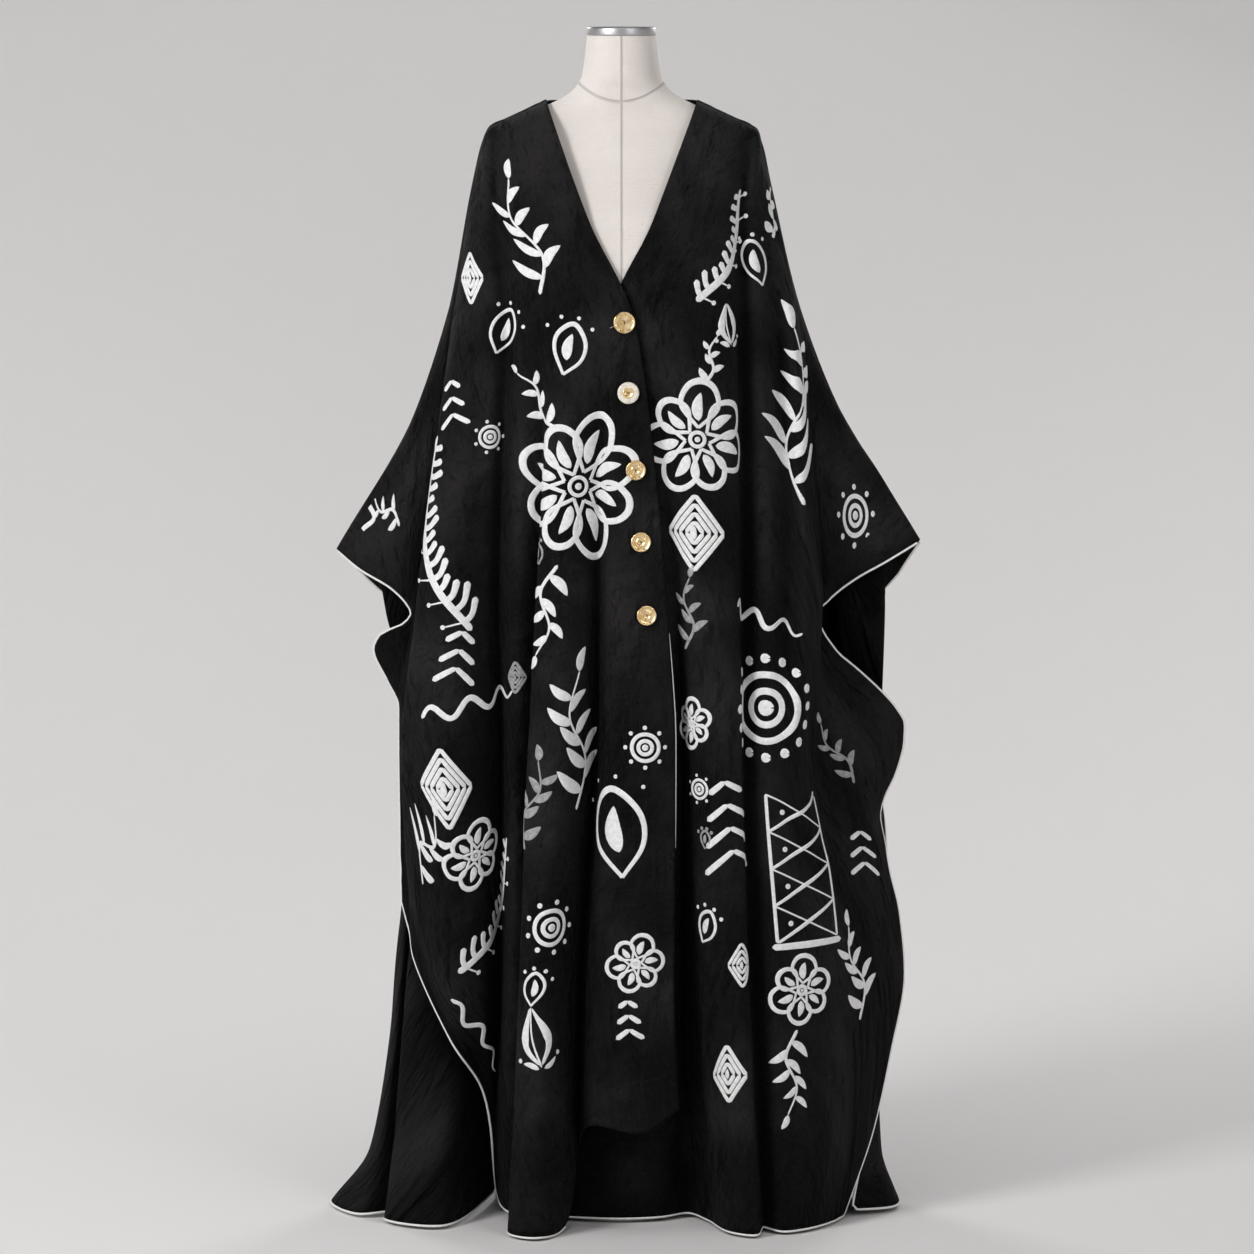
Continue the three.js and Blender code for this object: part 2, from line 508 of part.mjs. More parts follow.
BUTTONS.forEach(({ z, inset }, k) => {
  const { p, n } = onLap(frontRight, z, inset);
  const button = add(`button_${k + 1}`, turned(buttonProfile, BUTTON_SIDES), GOLD);
  button.quaternion.setFromUnitVectors(new THREE.Vector3(0, 0, 1), n);
  button.position.copy(p).addScaledVector(n, SEAM_GAP + 0.5);
});

add('dress_form', formGeometry(), LINEN_CREAM);
const capProfile = [[0, 0], [CAP_RADIUS, 0], [CAP_RADIUS, CAP_TOP - CAP_BOTTOM - 1.5],
  [CAP_RADIUS - 1.5, CAP_TOP - CAP_BOTTOM], [0, CAP_TOP - CAP_BOTTOM]];
add('neck_cap', turned(capProfile, 40), STEEL, new THREE.Vector3(0, 0, CAP_BOTTOM));

const poleBottom = BASE_HEIGHT + SEAM_GAP;
const poleLength = FORM[0].z - SEAM_GAP - poleBottom;
add('pole', turned([[0, 0], [POLE_RADIUS, 0], [POLE_RADIUS, poleLength], [0, poleLength]], 20), STEEL,
  new THREE.Vector3(0, 0, poleBottom));
const baseProfile = [[0, 0], [BASE_RADIUS, 0], [BASE_RADIUS, BASE_HEIGHT - 2],
  [BASE_RADIUS - 2, BASE_HEIGHT], [0, BASE_HEIGHT]];
add('base', turned(baseProfile, 48), STEEL);

export default kaftan;
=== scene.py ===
# %% [markdown]
# # A black linen kaftan on a dress form
#
# The real thing is an open kaftan of black linen. It has a wide back and two fronts, and the sleeves
# are simply the width of the cloth. White piping binds the free side edges and the hems, five round
# buttons close the front, and white thread embroidery is scattered over the cloth. It hangs on a
# cream dress form on a steel pole.
#
# The work goes from big to small: the fold lines, the cloth on them, its creases, the thread work,
# the piping, the buttons, the dress form, and then the studio.

# %% Load the frame
import bpy
import json
import math
import numpy as np
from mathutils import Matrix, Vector

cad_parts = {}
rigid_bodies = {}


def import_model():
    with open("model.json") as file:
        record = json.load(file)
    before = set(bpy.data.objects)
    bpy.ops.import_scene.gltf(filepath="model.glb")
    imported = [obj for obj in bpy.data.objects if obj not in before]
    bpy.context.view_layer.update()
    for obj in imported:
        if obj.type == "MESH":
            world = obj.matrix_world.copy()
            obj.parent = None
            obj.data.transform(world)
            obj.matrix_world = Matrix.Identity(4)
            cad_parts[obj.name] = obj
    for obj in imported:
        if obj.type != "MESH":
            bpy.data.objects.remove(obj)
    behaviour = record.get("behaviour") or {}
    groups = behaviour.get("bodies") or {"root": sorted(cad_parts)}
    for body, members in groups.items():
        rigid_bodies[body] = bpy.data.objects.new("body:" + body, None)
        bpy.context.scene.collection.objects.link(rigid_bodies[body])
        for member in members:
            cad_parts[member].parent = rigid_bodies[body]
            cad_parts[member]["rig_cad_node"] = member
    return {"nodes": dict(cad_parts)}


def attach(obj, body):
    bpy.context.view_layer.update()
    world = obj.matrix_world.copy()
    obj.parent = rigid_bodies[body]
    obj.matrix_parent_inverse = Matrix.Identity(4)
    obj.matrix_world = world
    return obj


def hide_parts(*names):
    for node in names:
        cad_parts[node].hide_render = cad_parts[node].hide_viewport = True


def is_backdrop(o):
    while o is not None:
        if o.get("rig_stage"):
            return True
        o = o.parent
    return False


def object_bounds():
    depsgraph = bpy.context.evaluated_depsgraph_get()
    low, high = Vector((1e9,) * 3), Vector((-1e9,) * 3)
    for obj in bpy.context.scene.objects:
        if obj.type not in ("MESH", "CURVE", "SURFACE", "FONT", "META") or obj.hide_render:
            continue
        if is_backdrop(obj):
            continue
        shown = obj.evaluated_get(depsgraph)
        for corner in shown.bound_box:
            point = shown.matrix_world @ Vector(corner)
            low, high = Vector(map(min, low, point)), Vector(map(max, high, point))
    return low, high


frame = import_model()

cad_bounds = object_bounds()
MM = 0.001
print("nodes to dress:", sorted(frame["nodes"]))

# %% [markdown]
# ## The fold lines
# Cloth that hangs from two shoulders falls in long folds. Each fold has a line that can be followed
# with a finger from the shoulder to the hem. A row below is one such line, in millimetres: where it
# starts on the shoulder, and how far sideways and forward it lies at a few named heights.
# These are the values of the solid model, so that the cloth hangs in exactly the same place.

# %% Named heights
CLOTH = 2
SEAM_GAP = 0.3
HEM_LIFT = 3
ROLL = 1.8
FORM_CLEARANCE = 1.4
NECK_X = 107
NECK_Z = 1618
CORNER_X = 192
CORNER_Z = 1579
LEVELS = dict(chest=1450, bust=1300, elbow=880, thigh=690, knee=350, ankle=90)
DOWN = dict(chest=0.16, bust=0.3, elbow=0.52, thigh=0.66, knee=0.84, ankle=0.95)


def on_shoulder(x):
    fall = (NECK_Z - CORNER_Z) / (CORNER_X - NECK_X)
    return (x, 0, NECK_Z - (abs(x) - NECK_X) * fall)


# %% [markdown]
# The wearer's right front comes first, from the edge that laps over out to the free side edge. Then
# come the left front and the back. Last are the rings of the dress form.

# %% The tables of fold lines
FRONT_RIGHT = [
    dict(fold="lapping edge", top=on_shoulder(-107), chest=(-45, -113), bust=(21, -138), elbow=(66,
         -160), thigh=(76, -172), knee=(75, -184), hem=(82, -186, 182)),
    dict(fold="centre crest", top=on_shoulder(-113), chest=(-55, -112), bust=(4, -139), elbow=(27,
         -168), thigh=(34, -184), knee=(27, -198), hem=(28, -205, 152)),
    dict(fold="centre panel edge", top=on_shoulder(-119), chest=(-67, -110), bust=(-14, -138),
         elbow=(-18, -155), thigh=(-20, -165), knee=(-40, -175), hem=(-43, -180, 157)),
    dict(fold="centre trough", top=on_shoulder(-125), chest=(-77, -108), bust=(-28, -136),
         elbow=(-34, -128), thigh=(-37, -124), knee=(-57, -116), hem=(-62, -112, 105)),
    dict(fold="front fold inner edge", top=on_shoulder(-132), chest=(-90, -105), bust=(-48, -135),
         elbow=(-53, -152), thigh=(-62, -165), knee=(-79, -172), hem=(-83, -170, 8)),
    dict(fold="front fold crest", top=on_shoulder(-141), chest=(-105, -101), bust=(-72, -133),
         elbow=(-86, -172), thigh=(-95, -190), knee=(-111, -208), hem=(-121, -222, 4)),
    dict(fold="front fold outer edge", top=on_shoulder(-150), chest=(-120, -95), bust=(-98, -127),
         elbow=(-121, -158), thigh=(-131, -172), knee=(-144, -186), hem=(-160, -195, 4)),
    dict(fold="trough behind it", top=on_shoulder(-157), chest=(-130, -91), bust=(-110, -122),
         elbow=(-114, -124), thigh=(-121, -128), knee=(-133, -130), hem=(-148, -125, 14)),
    dict(fold="middle layer", top=on_shoulder(-168), chest=(-151, -82), bust=(-139, -114),
         elbow=(-150, -130), thigh=(-152, -132), knee=(-159, -122), hem=(-166, -100, 16)),
    dict(fold="side valley", top=on_shoulder(-180), chest=(-177, -62), bust=(-162, -86),
         elbow=(-176, -92), thigh=(-173, -88), knee=(-176, -65), hem=(-180, -38, 26)),
    dict(fold="side fold inner edge", top=on_shoulder(-187), chest=(-191, -62), bust=(-184, -94),
         elbow=(-193, -112), thigh=(-193, -118), knee=(-195, -100), hem=(-199, -55, 178)),
    dict(fold="side fold crest", top=(-194, 0, 1570), chest=(-205, -48), bust=(-212, -84),
         elbow=(-246, -132), thigh=(-253, -142), knee=(-246, -118), hem=(-244, -92, 262)),
    dict(fold="side fold outer edge", top=(-203, 0, 1541), chest=(-216, -30), bust=(-238, -50),
         elbow=(-294, -95), thigh=(-315, -88), hem=(-299, -66, 380)),
    dict(fold="sleeve valley", top=(-216, 0, 1482), bust=(-242, -22), elbow=(-287, -48),
         thigh=(-308, -52), hem=(-305, -52, 415)),
    dict(fold="sleeve roll", top=(-251, 0, 1302), elbow=(-292, -42), thigh=(-311, -42), hem=(-309,
         -47, 430)),
    dict(fold="sleeve face", top=(-304, 0, 1152), elbow=(-297, -38), thigh=(-315, -34), hem=(-313,
         -42, 444)),
    dict(fold="side edge", top=(-412, 0, 972), elbow=(-302, -35), thigh=(-320, -26), hem=(-317,
         -36, 458), via=[(-378, -12, 945), (-330, -24, 917), (-308, -32, 895)], after=[(-312, -30,
         866), (-348, -19, 848), (-357, -14, 828), (-338, -18, 785), (-320, -22, 745)]),
]

FRONT_LEFT = [
    dict(fold="under edge", top=on_shoulder(108), chest=(44, -110), bust=(-14, -128), elbow=(10,
         -148), thigh=(8, -150), knee=(-26, -132), ankle=(-72, -98), hem=(-104, -92, 6)),
    dict(fold="under layer", top=on_shoulder(112), chest=(53, -110), bust=(10, -129), elbow=(40,
         -150), thigh=(42, -156), knee=(34, -150), ankle=(14, -116), hem=(-8, -108, 6)),
    dict(fold="behind the lap", top=on_shoulder(117), chest=(62, -109), bust=(36, -130), elbow=(64,
         -148), thigh=(74, -146), knee=(74, -118), ankle=(62, -100), hem=(56, -98, 6)),
    dict(fold="centre trough", top=on_shoulder(122), chest=(71, -107), bust=(54, -131), elbow=(80,
         -137), thigh=(87, -130), knee=(87, -98), ankle=(92, -78), hem=(98, -72, 6)),
    dict(fold="panel inner side", top=on_shoulder(130), chest=(84, -104), bust=(74, -131),
         elbow=(98, -154), thigh=(102, -158), knee=(110, -150), ankle=(120, -124), hem=(126, -112,
         5)),
    dict(fold="panel crest", top=on_shoulder(145), chest=(110, -97), bust=(110, -127), elbow=(128,
         -165), thigh=(131, -180), knee=(141, -185), hem=(157, -185, 4)),
    dict(fold="panel hard edge", top=on_shoulder(170), chest=(149, -80), bust=(154, -108),
         elbow=(162, -150), thigh=(166, -175), knee=(176, -190), hem=(192, -205, 4)),
    dict(fold="shoulder valley", top=on_shoulder(184), chest=(170, -54), bust=(170, -74),
         elbow=(173, -108), thigh=(174, -140), knee=(186, -152), hem=(204, -162, 6)),
    dict(fold="second fold crest", top=(194, 0, 1576), chest=(185, -57), bust=(196, -82),
         elbow=(209, -130), thigh=(210, -160), knee=(222, -170), hem=(232, -182, 4)),
    dict(fold="second fold outer edge", top=(200, 0, 1555), chest=(199, -42), bust=(222, -52),
         elbow=(240, -108), thigh=(230, -156), knee=(258, -157), hem=(262, -168, 4)),
    dict(fold="third fold crest", top=(212, 0, 1500), chest=(212, -24), bust=(243, -54),
         elbow=(263, -122), thigh=(246, -152), knee=(298, -134), hem=(285, -146, 4)),
    dict(fold="third fold outer edge", top=(226, 0, 1437), bust=(254, -30), elbow=(280, -94),
         thigh=(258, -134), knee=(328, -104), hem=(299, -127, 4)),
    dict(fold="sleeve valley", top=(250, 0, 1340), elbow=(286, -54), thigh=(276, -76), knee=(354,
         -74), hem=(308, -112, 4)),
    dict(fold="sleeve roll", top=(300, 0, 1200), elbow=(275, -48), thigh=(330, -46), knee=(383,
         -42), hem=(316, -98, 5)),
    dict(fold="side edge", top=(432, 0, 985), elbow=(281, -40), thigh=(408, -4), knee=(410, -12),
         hem=(322, -82, 5), via=[(380, -12, 955), (337, -22, 932), (299, -34, 904)], after=[(286,
         -40, 862), (312, -34, 824), (344, -24, 795), (375, -14, 765), (398, -8, 738), (409, -4,
         716)], later=[(396, -6, 645), (379, -8, 608), (374, -8, 583), (378, -8, 556), (388, -8,
         500), (402, -9, 440)], last=[(391, -30, 242), (366, -48, 130)]),
]

BACK = [
    dict(fold="right side edge", top=(-412, 0, 972), elbow=(-330, 34), thigh=(-300, 66),
         knee=(-318, 62), ankle=(-350, 66), hem=(-392, 62, 8), via=[(-372, 12, 932)]),
    dict(fold="right corner", top=(-360, 0, 1053), elbow=(-343, 14), thigh=(-308, 40), knee=(-330,
         20), ankle=(-369, 10), hem=(-427, 15, 4)),
    dict(fold="right corner front", top=(-304, 0, 1152), elbow=(-306, 26), thigh=(-298, 36),
         knee=(-321, -8), ankle=(-350, -58), hem=(-382, -76, 5)),
    dict(fold="right tuck", top=(-240, 0, 1345), elbow=(-290, 32), thigh=(-285, 48), knee=(-306,
         2), ankle=(-322, -52), hem=(-332, -72, 8)),
    dict(fold="right wing edge", top=(-212, 0, 1500), bust=(-244, 28), elbow=(-282, 72),
         thigh=(-288, 34), knee=(-312, -28), ankle=(-334, -86), hem=(-344, -106, 5)),
    dict(fold="right wing crest", top=(-197, 0, 1562), chest=(-212, 30), bust=(-232, 58),
         elbow=(-248, 62), thigh=(-262, 40), knee=(-276, -30), ankle=(-292, -122), hem=(-300, -146,
         5)),
    dict(fold="right wing inner side", top=on_shoulder(-186), chest=(-196, 46), bust=(-212, 60),
         elbow=(-218, 100), thigh=(-228, 66), knee=(-232, -10), ankle=(-248, -122), hem=(-254,
         -148, 5)),
    dict(fold="right valley", top=on_shoulder(-166), chest=(-172, 64), bust=(-186, 82),
         elbow=(-180, 86), thigh=(-184, 84), knee=(-190, 62), ankle=(-192, 46), hem=(-192, 40, 8)),
    dict(fold="right back fold", top=on_shoulder(-140), chest=(-146, 84), bust=(-154, 92),
         elbow=(-147, 128), thigh=(-156, 142), knee=(-168, 150), hem=(-180, 150, 6)),
    dict(fold="right back trough", top=on_shoulder(-115), chest=(-116, 97), bust=(-116, 104),
         elbow=(-107, 112), thigh=(-112, 114), knee=(-120, 118), hem=(-128, 122, 8)),
    dict(fold="right centre fold", top=(-84, 50, 1616), chest=(-76, 106), bust=(-68, 121),
         elbow=(-60, 145), thigh=(-62, 160), knee=(-66, 180), hem=(-72, 192, 6)),
    dict(fold="centre back", top=(-4, 78, 1611), chest=(-6, 112), bust=(-6, 118), elbow=(-4, 124),
         thigh=(-3, 128), knee=(0, 138), hem=(2, 153, 10)),
    dict(fold="left centre fold", top=(78, 54, 1616), chest=(68, 107), bust=(62, 121), elbow=(62,
         141), thigh=(66, 153), knee=(72, 170), hem=(78, 186, 6)),
    dict(fold="left back trough", top=on_shoulder(113), chest=(110, 98), bust=(108, 104),
         elbow=(104, 108), thigh=(108, 108), knee=(114, 114), hem=(120, 122, 10)),
    dict(fold="left back fold", top=on_shoulder(138), chest=(142, 85), bust=(150, 94), elbow=(152,
         130), thigh=(162, 145), knee=(174, 160), hem=(186, 168, 6)),
    dict(fold="left valley", top=on_shoulder(164), chest=(170, 64), bust=(184, 72), elbow=(184,
         80), thigh=(192, 82), knee=(206, 88), hem=(216, 94, 8)),
    dict(fold="left wing fold", top=on_shoulder(186), chest=(196, 46), bust=(212, 66), elbow=(226,
         106), thigh=(242, 118), knee=(264, 126), hem=(288, 126, 6)),
    dict(fold="left wing trough", top=(199, 0, 1560), chest=(212, 28), bust=(232, 44), elbow=(258,
         60), thigh=(274, 68), knee=(302, 66), hem=(324, 58, 8)),
    dict(fold="left wing crest", top=(214, 0, 1495), bust=(250, 26), elbow=(298, 74), thigh=(314,
         82), knee=(342, 80), hem=(366, 70, 6)),
    dict(fold="left tuck", top=(256, 0, 1320), elbow=(318, 34), thigh=(330, 44), knee=(346, 50),
         hem=(378, 46, 8)),
    dict(fold="left corner back", top=(318, 0, 1165), elbow=(346, 25), thigh=(353, 32), knee=(362,
         34), ankle=(378, 30), hem=(404, 16, 6)),
    dict(fold="left corner", top=(374, 0, 1078), elbow=(382, 6), thigh=(377, 8), knee=(372, -4),
         ankle=(376, -14), hem=(396, -34, 6)),
    dict(fold="left side edge", top=(432, 0, 985), elbow=(374, 30), thigh=(373, 36), knee=(366,
         -30), ankle=(350, -46), hem=(336, -64, 8), via=[(404, 12, 940)], later=[(385, 8, 520)]),
]

FORM = [
    dict(z=800, side=150, front=96, back=104),
    dict(z=812, side=168, front=108, back=118),
    dict(z=860, side=172, front=112, back=122),
    dict(z=940, side=166, front=112, back=118),
    dict(z=1040, side=140, front=102, back=98),
    dict(z=1120, side=124, front=94, back=82),
    dict(z=1200, side=132, front=102, back=88),
    dict(z=1300, side=152, front=122, back=99),
    dict(z=1370, side=164, front=124, back=104),
    dict(z=1440, side=176, front=113, back=106),
    dict(z=1500, side=186, front=98, back=103),
    dict(z=1545, side=188, front=80, back=86),
    dict(z=1566, side=184, front=66, back=72),
    dict(z=1582, side=168, front=56, back=61),
    dict(z=1598, side=138, front=50, back=54),
    dict(z=1612, side=106, front=49, back=53),
    dict(z=1624, side=82, front=50, back=54),
    dict(z=1636, side=67, front=51, back=54),
    dict(z=1653, side=57, front=54, back=58),
    dict(z=1676, side=53, front=52, back=53),
    dict(z=1711.3, side=49, front=49, back=49),
]

# %% [markdown]
# ## From fold lines to cloth
# Each fold line becomes a smooth curve that never swings past its own points. Just under the
# shoulder it rolls forward, as cloth does over a rounded edge. Then a second smooth curve runs
# across all the fold lines, and that gives the surface. The cloth is kept off the dress form.

# %% Smooth curves
def slopes(t, v):
    rise = np.diff(v) / np.diff(t)
    m = np.zeros(len(v))
    m[0] = rise[0]
    m[-1] = rise[-1]
    for i in range(1, len(v) - 1):
        a, b = rise[i - 1], rise[i]
        if a * b > 0:
            m[i] = 2 * a * b / (a + b)
    return m


def smooth(t, v, m, at):
    i = np.clip(np.searchsorted(t, at, side="left") - 1, 0, len(t) - 2)
    h = t[i + 1] - t[i]
    s = (at - t[i]) / h
    start = (1 + 2 * s) * (1 - s) ** 2 * v[i] + s * (1 - s) ** 2 * h * m[i]
    return start + s * s * (3 - 2 * s) * v[i + 1] + s * s * (s - 1) * h * m[i + 1]


def stations(row):
    known = [(0.0, row["top"])]
    for name, height in LEVELS.items():
        if name in row:
            known.append((DOWN[name], (*row[name], height)))
    x, y, z = row["hem"]
    known.append((1.0, (x, y, z + HEM_LIFT)))
    for key in ("via", "after", "later", "last"):
        for p in row.get(key, []):
            below = next(k for k, (_, q) in enumerate(known) if q[2] < p[2])
            (ta, a), (tb, b) = known[below - 1], known[below]
            known.insert(below, (ta + (tb - ta) * (a[2] - p[2]) / (a[2] - b[2]), p))
    return np.array([k[0] for k in known]), np.array([k[1] for k in known], float)


def fold_line(row, at):
    t, p = stations(row)
    line = np.stack([smooth(t, p[:, k], slopes(t, p[:, k]), at) for k in range(3)], axis=-1)
    near_top = at < t[1]
    share = np.clip(at / t[1], 0, 1)
    line[near_top, 2] = (p[0, 2] + (p[1, 2] - p[0, 2]) * share)[near_top]
    if "via" not in row:
        reach = np.sqrt(np.maximum(0, 1 - (1 - share) ** ROLL))
        line[near_top, 1] = (p[0, 1] + (p[1, 1] - p[0, 1]) * reach)[near_top]
    return line


def across(lines, steps):
    """A smooth curve across the fold lines at every height. lines is fold x height x 3."""
    first = 2 * lines[:1] - lines[1:2]
    last = 2 * lines[-1:] - lines[-2:-1]
    p = np.concatenate([first, lines, last])
    gap = np.maximum(np.linalg.norm(np.diff(p, axis=0), axis=2), 1e-3) ** 0.5
    rows = []
    for n in range((len(lines) - 1) * steps + 1):
        k = min(n // steps, len(lines) - 2)
        s = n / steps - k
        p0, p1, p2, p3 = p[k], p[k + 1], p[k + 2], p[k + 3]
        d0, d1, d2 = gap[k][:, None], gap[k + 1][:, None], gap[k + 2][:, None]
        m1 = ((p1 - p0) / d0 - (p2 - p0) / (d0 + d1) + (p2 - p1) / d1) * d1
        m2 = ((p2 - p1) / d1 - (p3 - p1) / (d1 + d2) + (p3 - p2) / d2) * d1
        c2 = 3 * (p2 - p1) - 2 * m1 - m2
        c3 = 2 * (p1 - p2) + m1 + m2
        rows.append(p1 + m1 * s + c2 * s * s + c3 * s ** 3)
    return np.array(rows)


# %% Keeping the cloth off the form
FORM_Z = np.array([r["z"] for r in FORM], float)
FORM_SIZE = {k: np.array([r[k] for r in FORM], float) for k in ("side", "front", "back")}


def clear_of_form(p, facing, clearance=FORM_CLEARANCE):
    side, front, back = (np.interp(p[..., 2], FORM_Z, FORM_SIZE[k]) for k in ("side", "front", "back"))
    share = p[..., 0] / (side + clearance)
    depth = (front if facing < 0 else back) + clearance
    least = depth * np.sqrt(np.clip(1 - share ** 2, 0, None))
    inside = (np.abs(share) < 1) & (p[..., 2] > FORM_Z[0]) & (p[..., 2] < FORM_Z[-1])
    y = facing * np.maximum(facing * p[..., 1], least)
    p[..., 1] = np.where(inside, y, p[..., 1])


def panel_grid(rows, facing, steps, heights):
    at = np.array(heights, float)
    grid = across(np.array([fold_line(row, at) for row in rows]), steps)
    upper = at < DOWN["chest"]
    y = facing * np.maximum(0, facing * grid[..., 1]) + facing * SEAM_GAP / 2
    grid[..., 1] = np.where(upper[None, :], y, grid[..., 1])
    lower = grid[:, at > 0]
    clear_of_form(lower, facing)
    grid[:, at > 0] = lower
    return grid


def outward(grid, turn):
    n = np.arange(len(grid))
    m = np.arange(grid.shape[1])
    side = grid[np.minimum(n + 1, n[-1])] - grid[np.maximum(n - 1, 0)]
    down = grid[:, np.minimum(m + 1, m[-1])] - grid[:, np.maximum(m - 1, 0)]
    away = np.cross(side, down) * turn
    return away / np.maximum(np.linalg.norm(away, axis=2, keepdims=True), 1e-9)


def lengths(grid):
    """How far along the cloth each point lies, across and down, in millimetres."""
    side = np.linalg.norm(np.diff(grid, axis=0), axis=2)
    down = np.linalg.norm(np.diff(grid, axis=1), axis=2)
    return (np.concatenate([np.zeros((1, grid.shape[1])), np.cumsum(side, axis=0)]),
            np.concatenate([np.zeros((len(grid), 1)), np.cumsum(down, axis=1)], axis=1))


# %% [markdown]
# ## Creases
# Linen keeps every crease. The long drags run from the neckline to the first button, where the
# weight of the lap pulls, and short bent ones sit where a fold turns at the elbow, at the cuff and
# above the floor. A crease is a soft trough or ridge along a line, so each one is listed with its
# own width and depth, first by where it starts and then by where it ends, seen from the front.

# %% Crease tables: start (x, z), end (x, z), half width and height, with troughs below zero
CREASES_RIGHT = [
    ((-101, 1440), (-24, 1330), 7, -2.2),
    ((-92, 1460), (-10, 1342), 9, 1.6),
    ((-118, 1500), (-70, 1392), 12, -1.6),
    ((-150, 1560), (-128, 1380), 14, -1.8),
    ((-170, 1540), (-158, 1330), 10, 1.5),
    ((-60, 1330), (-110, 1220), 13, -1.5),
    ((14, 1290), (-40, 1205), 10, -1.6),
    ((20, 1200), (-30, 1130), 9, 1.3),
    ((38, 1100), (-16, 1020), 11, -1.7),
    ((48, 990), (-4, 930), 9, 1.4),
    ((58, 885), (10, 800), 12, -1.8),
    ((66, 780), (30, 660), 14, 1.5),
    ((60, 640), (20, 560), 10, -1.6),
    ((20, 500), (-24, 420), 12, 1.5),
    ((70, 420), (40, 300), 13, -1.9),
    ((30, 330), (-10, 250), 9, 1.5),
    ((64, 260), (20, 215), 8, -1.4),
    ((-110, 1010), (-80, 880), 13, -1.8),
    ((-70, 900), (-120, 800), 11, 1.5),
    ((-130, 760), (-90, 640), 14, -2.0),
    ((-140, 620), (-110, 500), 12, 1.6),
    ((-90, 470), (-130, 350), 13, -2.0),
    ((-150, 330), (-120, 220), 11, 1.6),
    ((-100, 200), (-150, 90), 12, -2.2),
    ((-130, 60), (-160, 34), 7, 1.6),
    ((-200, 1180), (-232, 1060), 12, -2.2),
    ((-250, 1080), (-216, 980), 11, 1.7),
    ((-222, 940), (-262, 850), 12, -2.2),
    ((-290, 960), (-250, 900), 8, 1.8),
    ((-336, 990), (-300, 930), 8, -1.6),
    ((-380, 975), (-330, 1020), 9, 1.3),
    ((-280, 800), (-240, 690), 12, -2.1),
    ((-300, 690), (-262, 600), 10, 1.6),
    ((-252, 540), (-286, 470), 10, -1.8),
    ((-212, 560), (-236, 380), 13, 1.8),
    ((-206, 330), (-232, 280), 9, -1.5),
]
CREASES_LEFT = [
    ((112, 1560), (90, 1420), 12, -1.7),
    ((98, 1420), (40, 1330), 8, -2.0),
    ((84, 1440), (30, 1340), 8, 1.4),
    ((140, 1530), (128, 1340), 13, 1.6),
    ((156, 1480), (150, 1290), 10, -1.7),
    ((60, 1290), (104, 1200), 12, -1.6),
    ((130, 1230), (92, 1130), 11, 1.5),
    ((70, 1110), (118, 1010), 13, -1.8),
    ((150, 1050), (120, 930), 12, 1.6),
    ((84, 930), (126, 820), 12, -1.9),
    ((160, 830), (128, 700), 14, 1.6),
    ((104, 690), (138, 570), 12, -1.9),
    ((168, 560), (140, 450), 12, 1.5),
    ((112, 440), (150, 320), 13, -2.0),
    ((180, 300), (148, 190), 12, 1.7),
    ((128, 190), (160, 90), 11, -2.0),
    ((186, 90), (164, 30), 8, 1.7),
    ((206, 1350), (232, 1200), 12, -2.0),
    ((260, 1190), (240, 1060), 10, 1.7),
    ((236, 1020), (272, 930), 11, -2.1),
    ((300, 1080), (330, 990), 12, 1.5),
    ((350, 1050), (392, 990), 9, -1.4),
    ((300, 950), (268, 880), 9, 1.8),
    ((320, 850), (282, 790), 10, -2.0),
    ((380, 740), (330, 700), 9, 1.7),
    ((360, 660), (310, 590), 11, -2.1),
    ((392, 560), (330, 500), 12, 1.6),
    ((300, 640), (262, 500), 14, -2.0),
    ((240, 480), (274, 340), 13, 1.7),
    ((380, 420), (330, 300), 13, -2.1),
    ((340, 250), (300, 150), 12, 1.8),
    ((250, 250), (226, 110), 12, -2.0),
    ((300, 120), (270, 40), 9, 1.7),
]
CREASES_BACK = [
    ((-90, 1560), (-60, 1400), 12, -1.7),
    ((40, 1540), (70, 1380), 13, 1.6),
    ((-10, 1400), (30, 1250), 14, -1.8),
    ((-130, 1420), (-100, 1260), 11, 1.6),
    ((140, 1380), (112, 1220), 12, -1.8),
    ((-60, 1200), (-20, 1060), 13, 1.7),
    ((90, 1120), (50, 980), 12, -1.9),
    ((-150, 1100), (-110, 960), 13, -2.0),
    ((170, 1060), (140, 900), 12, 1.8),
    ((-30, 900), (-70, 760), 14, -2.0),
    ((30, 840), (66, 700), 12, 1.7),
    ((-180, 820), (-150, 660), 13, 1.8),
    ((150, 760), (190, 620), 13, -2.1),
    ((-90, 620), (-50, 480), 13, -2.0),
    ((80, 560), (40, 420), 12, 1.7),
    ((220, 520), (250, 380), 13, -2.1),
    ((-220, 560), (-190, 420), 12, 1.8),
    ((-120, 360), (-160, 220), 13, -2.1),
    ((10, 330), (46, 190), 12, 1.8),
    ((150, 300), (110, 160), 13, -2.1),
    ((280, 260), (310, 130), 12, 1.8),
    ((-260, 280), (-230, 140), 12, -2.1),
    ((60, 120), (20, 40), 10, 1.7),
    ((-70, 120), (-100, 36), 10, -1.8),
    ((250, 1130), (280, 1010), 11, -1.9),
    ((-250, 1120), (-290, 1010), 11, 1.8),
    ((330, 960), (370, 900), 9, 1.5),
    ((360, 620), (390, 500), 12, -1.9),
    ((-330, 430), (-360, 260), 13, -2.0),
    ((-300, 200), (-350, 90), 12, 1.8),
    ((378, 300), (350, 160), 12, -1.9),
]


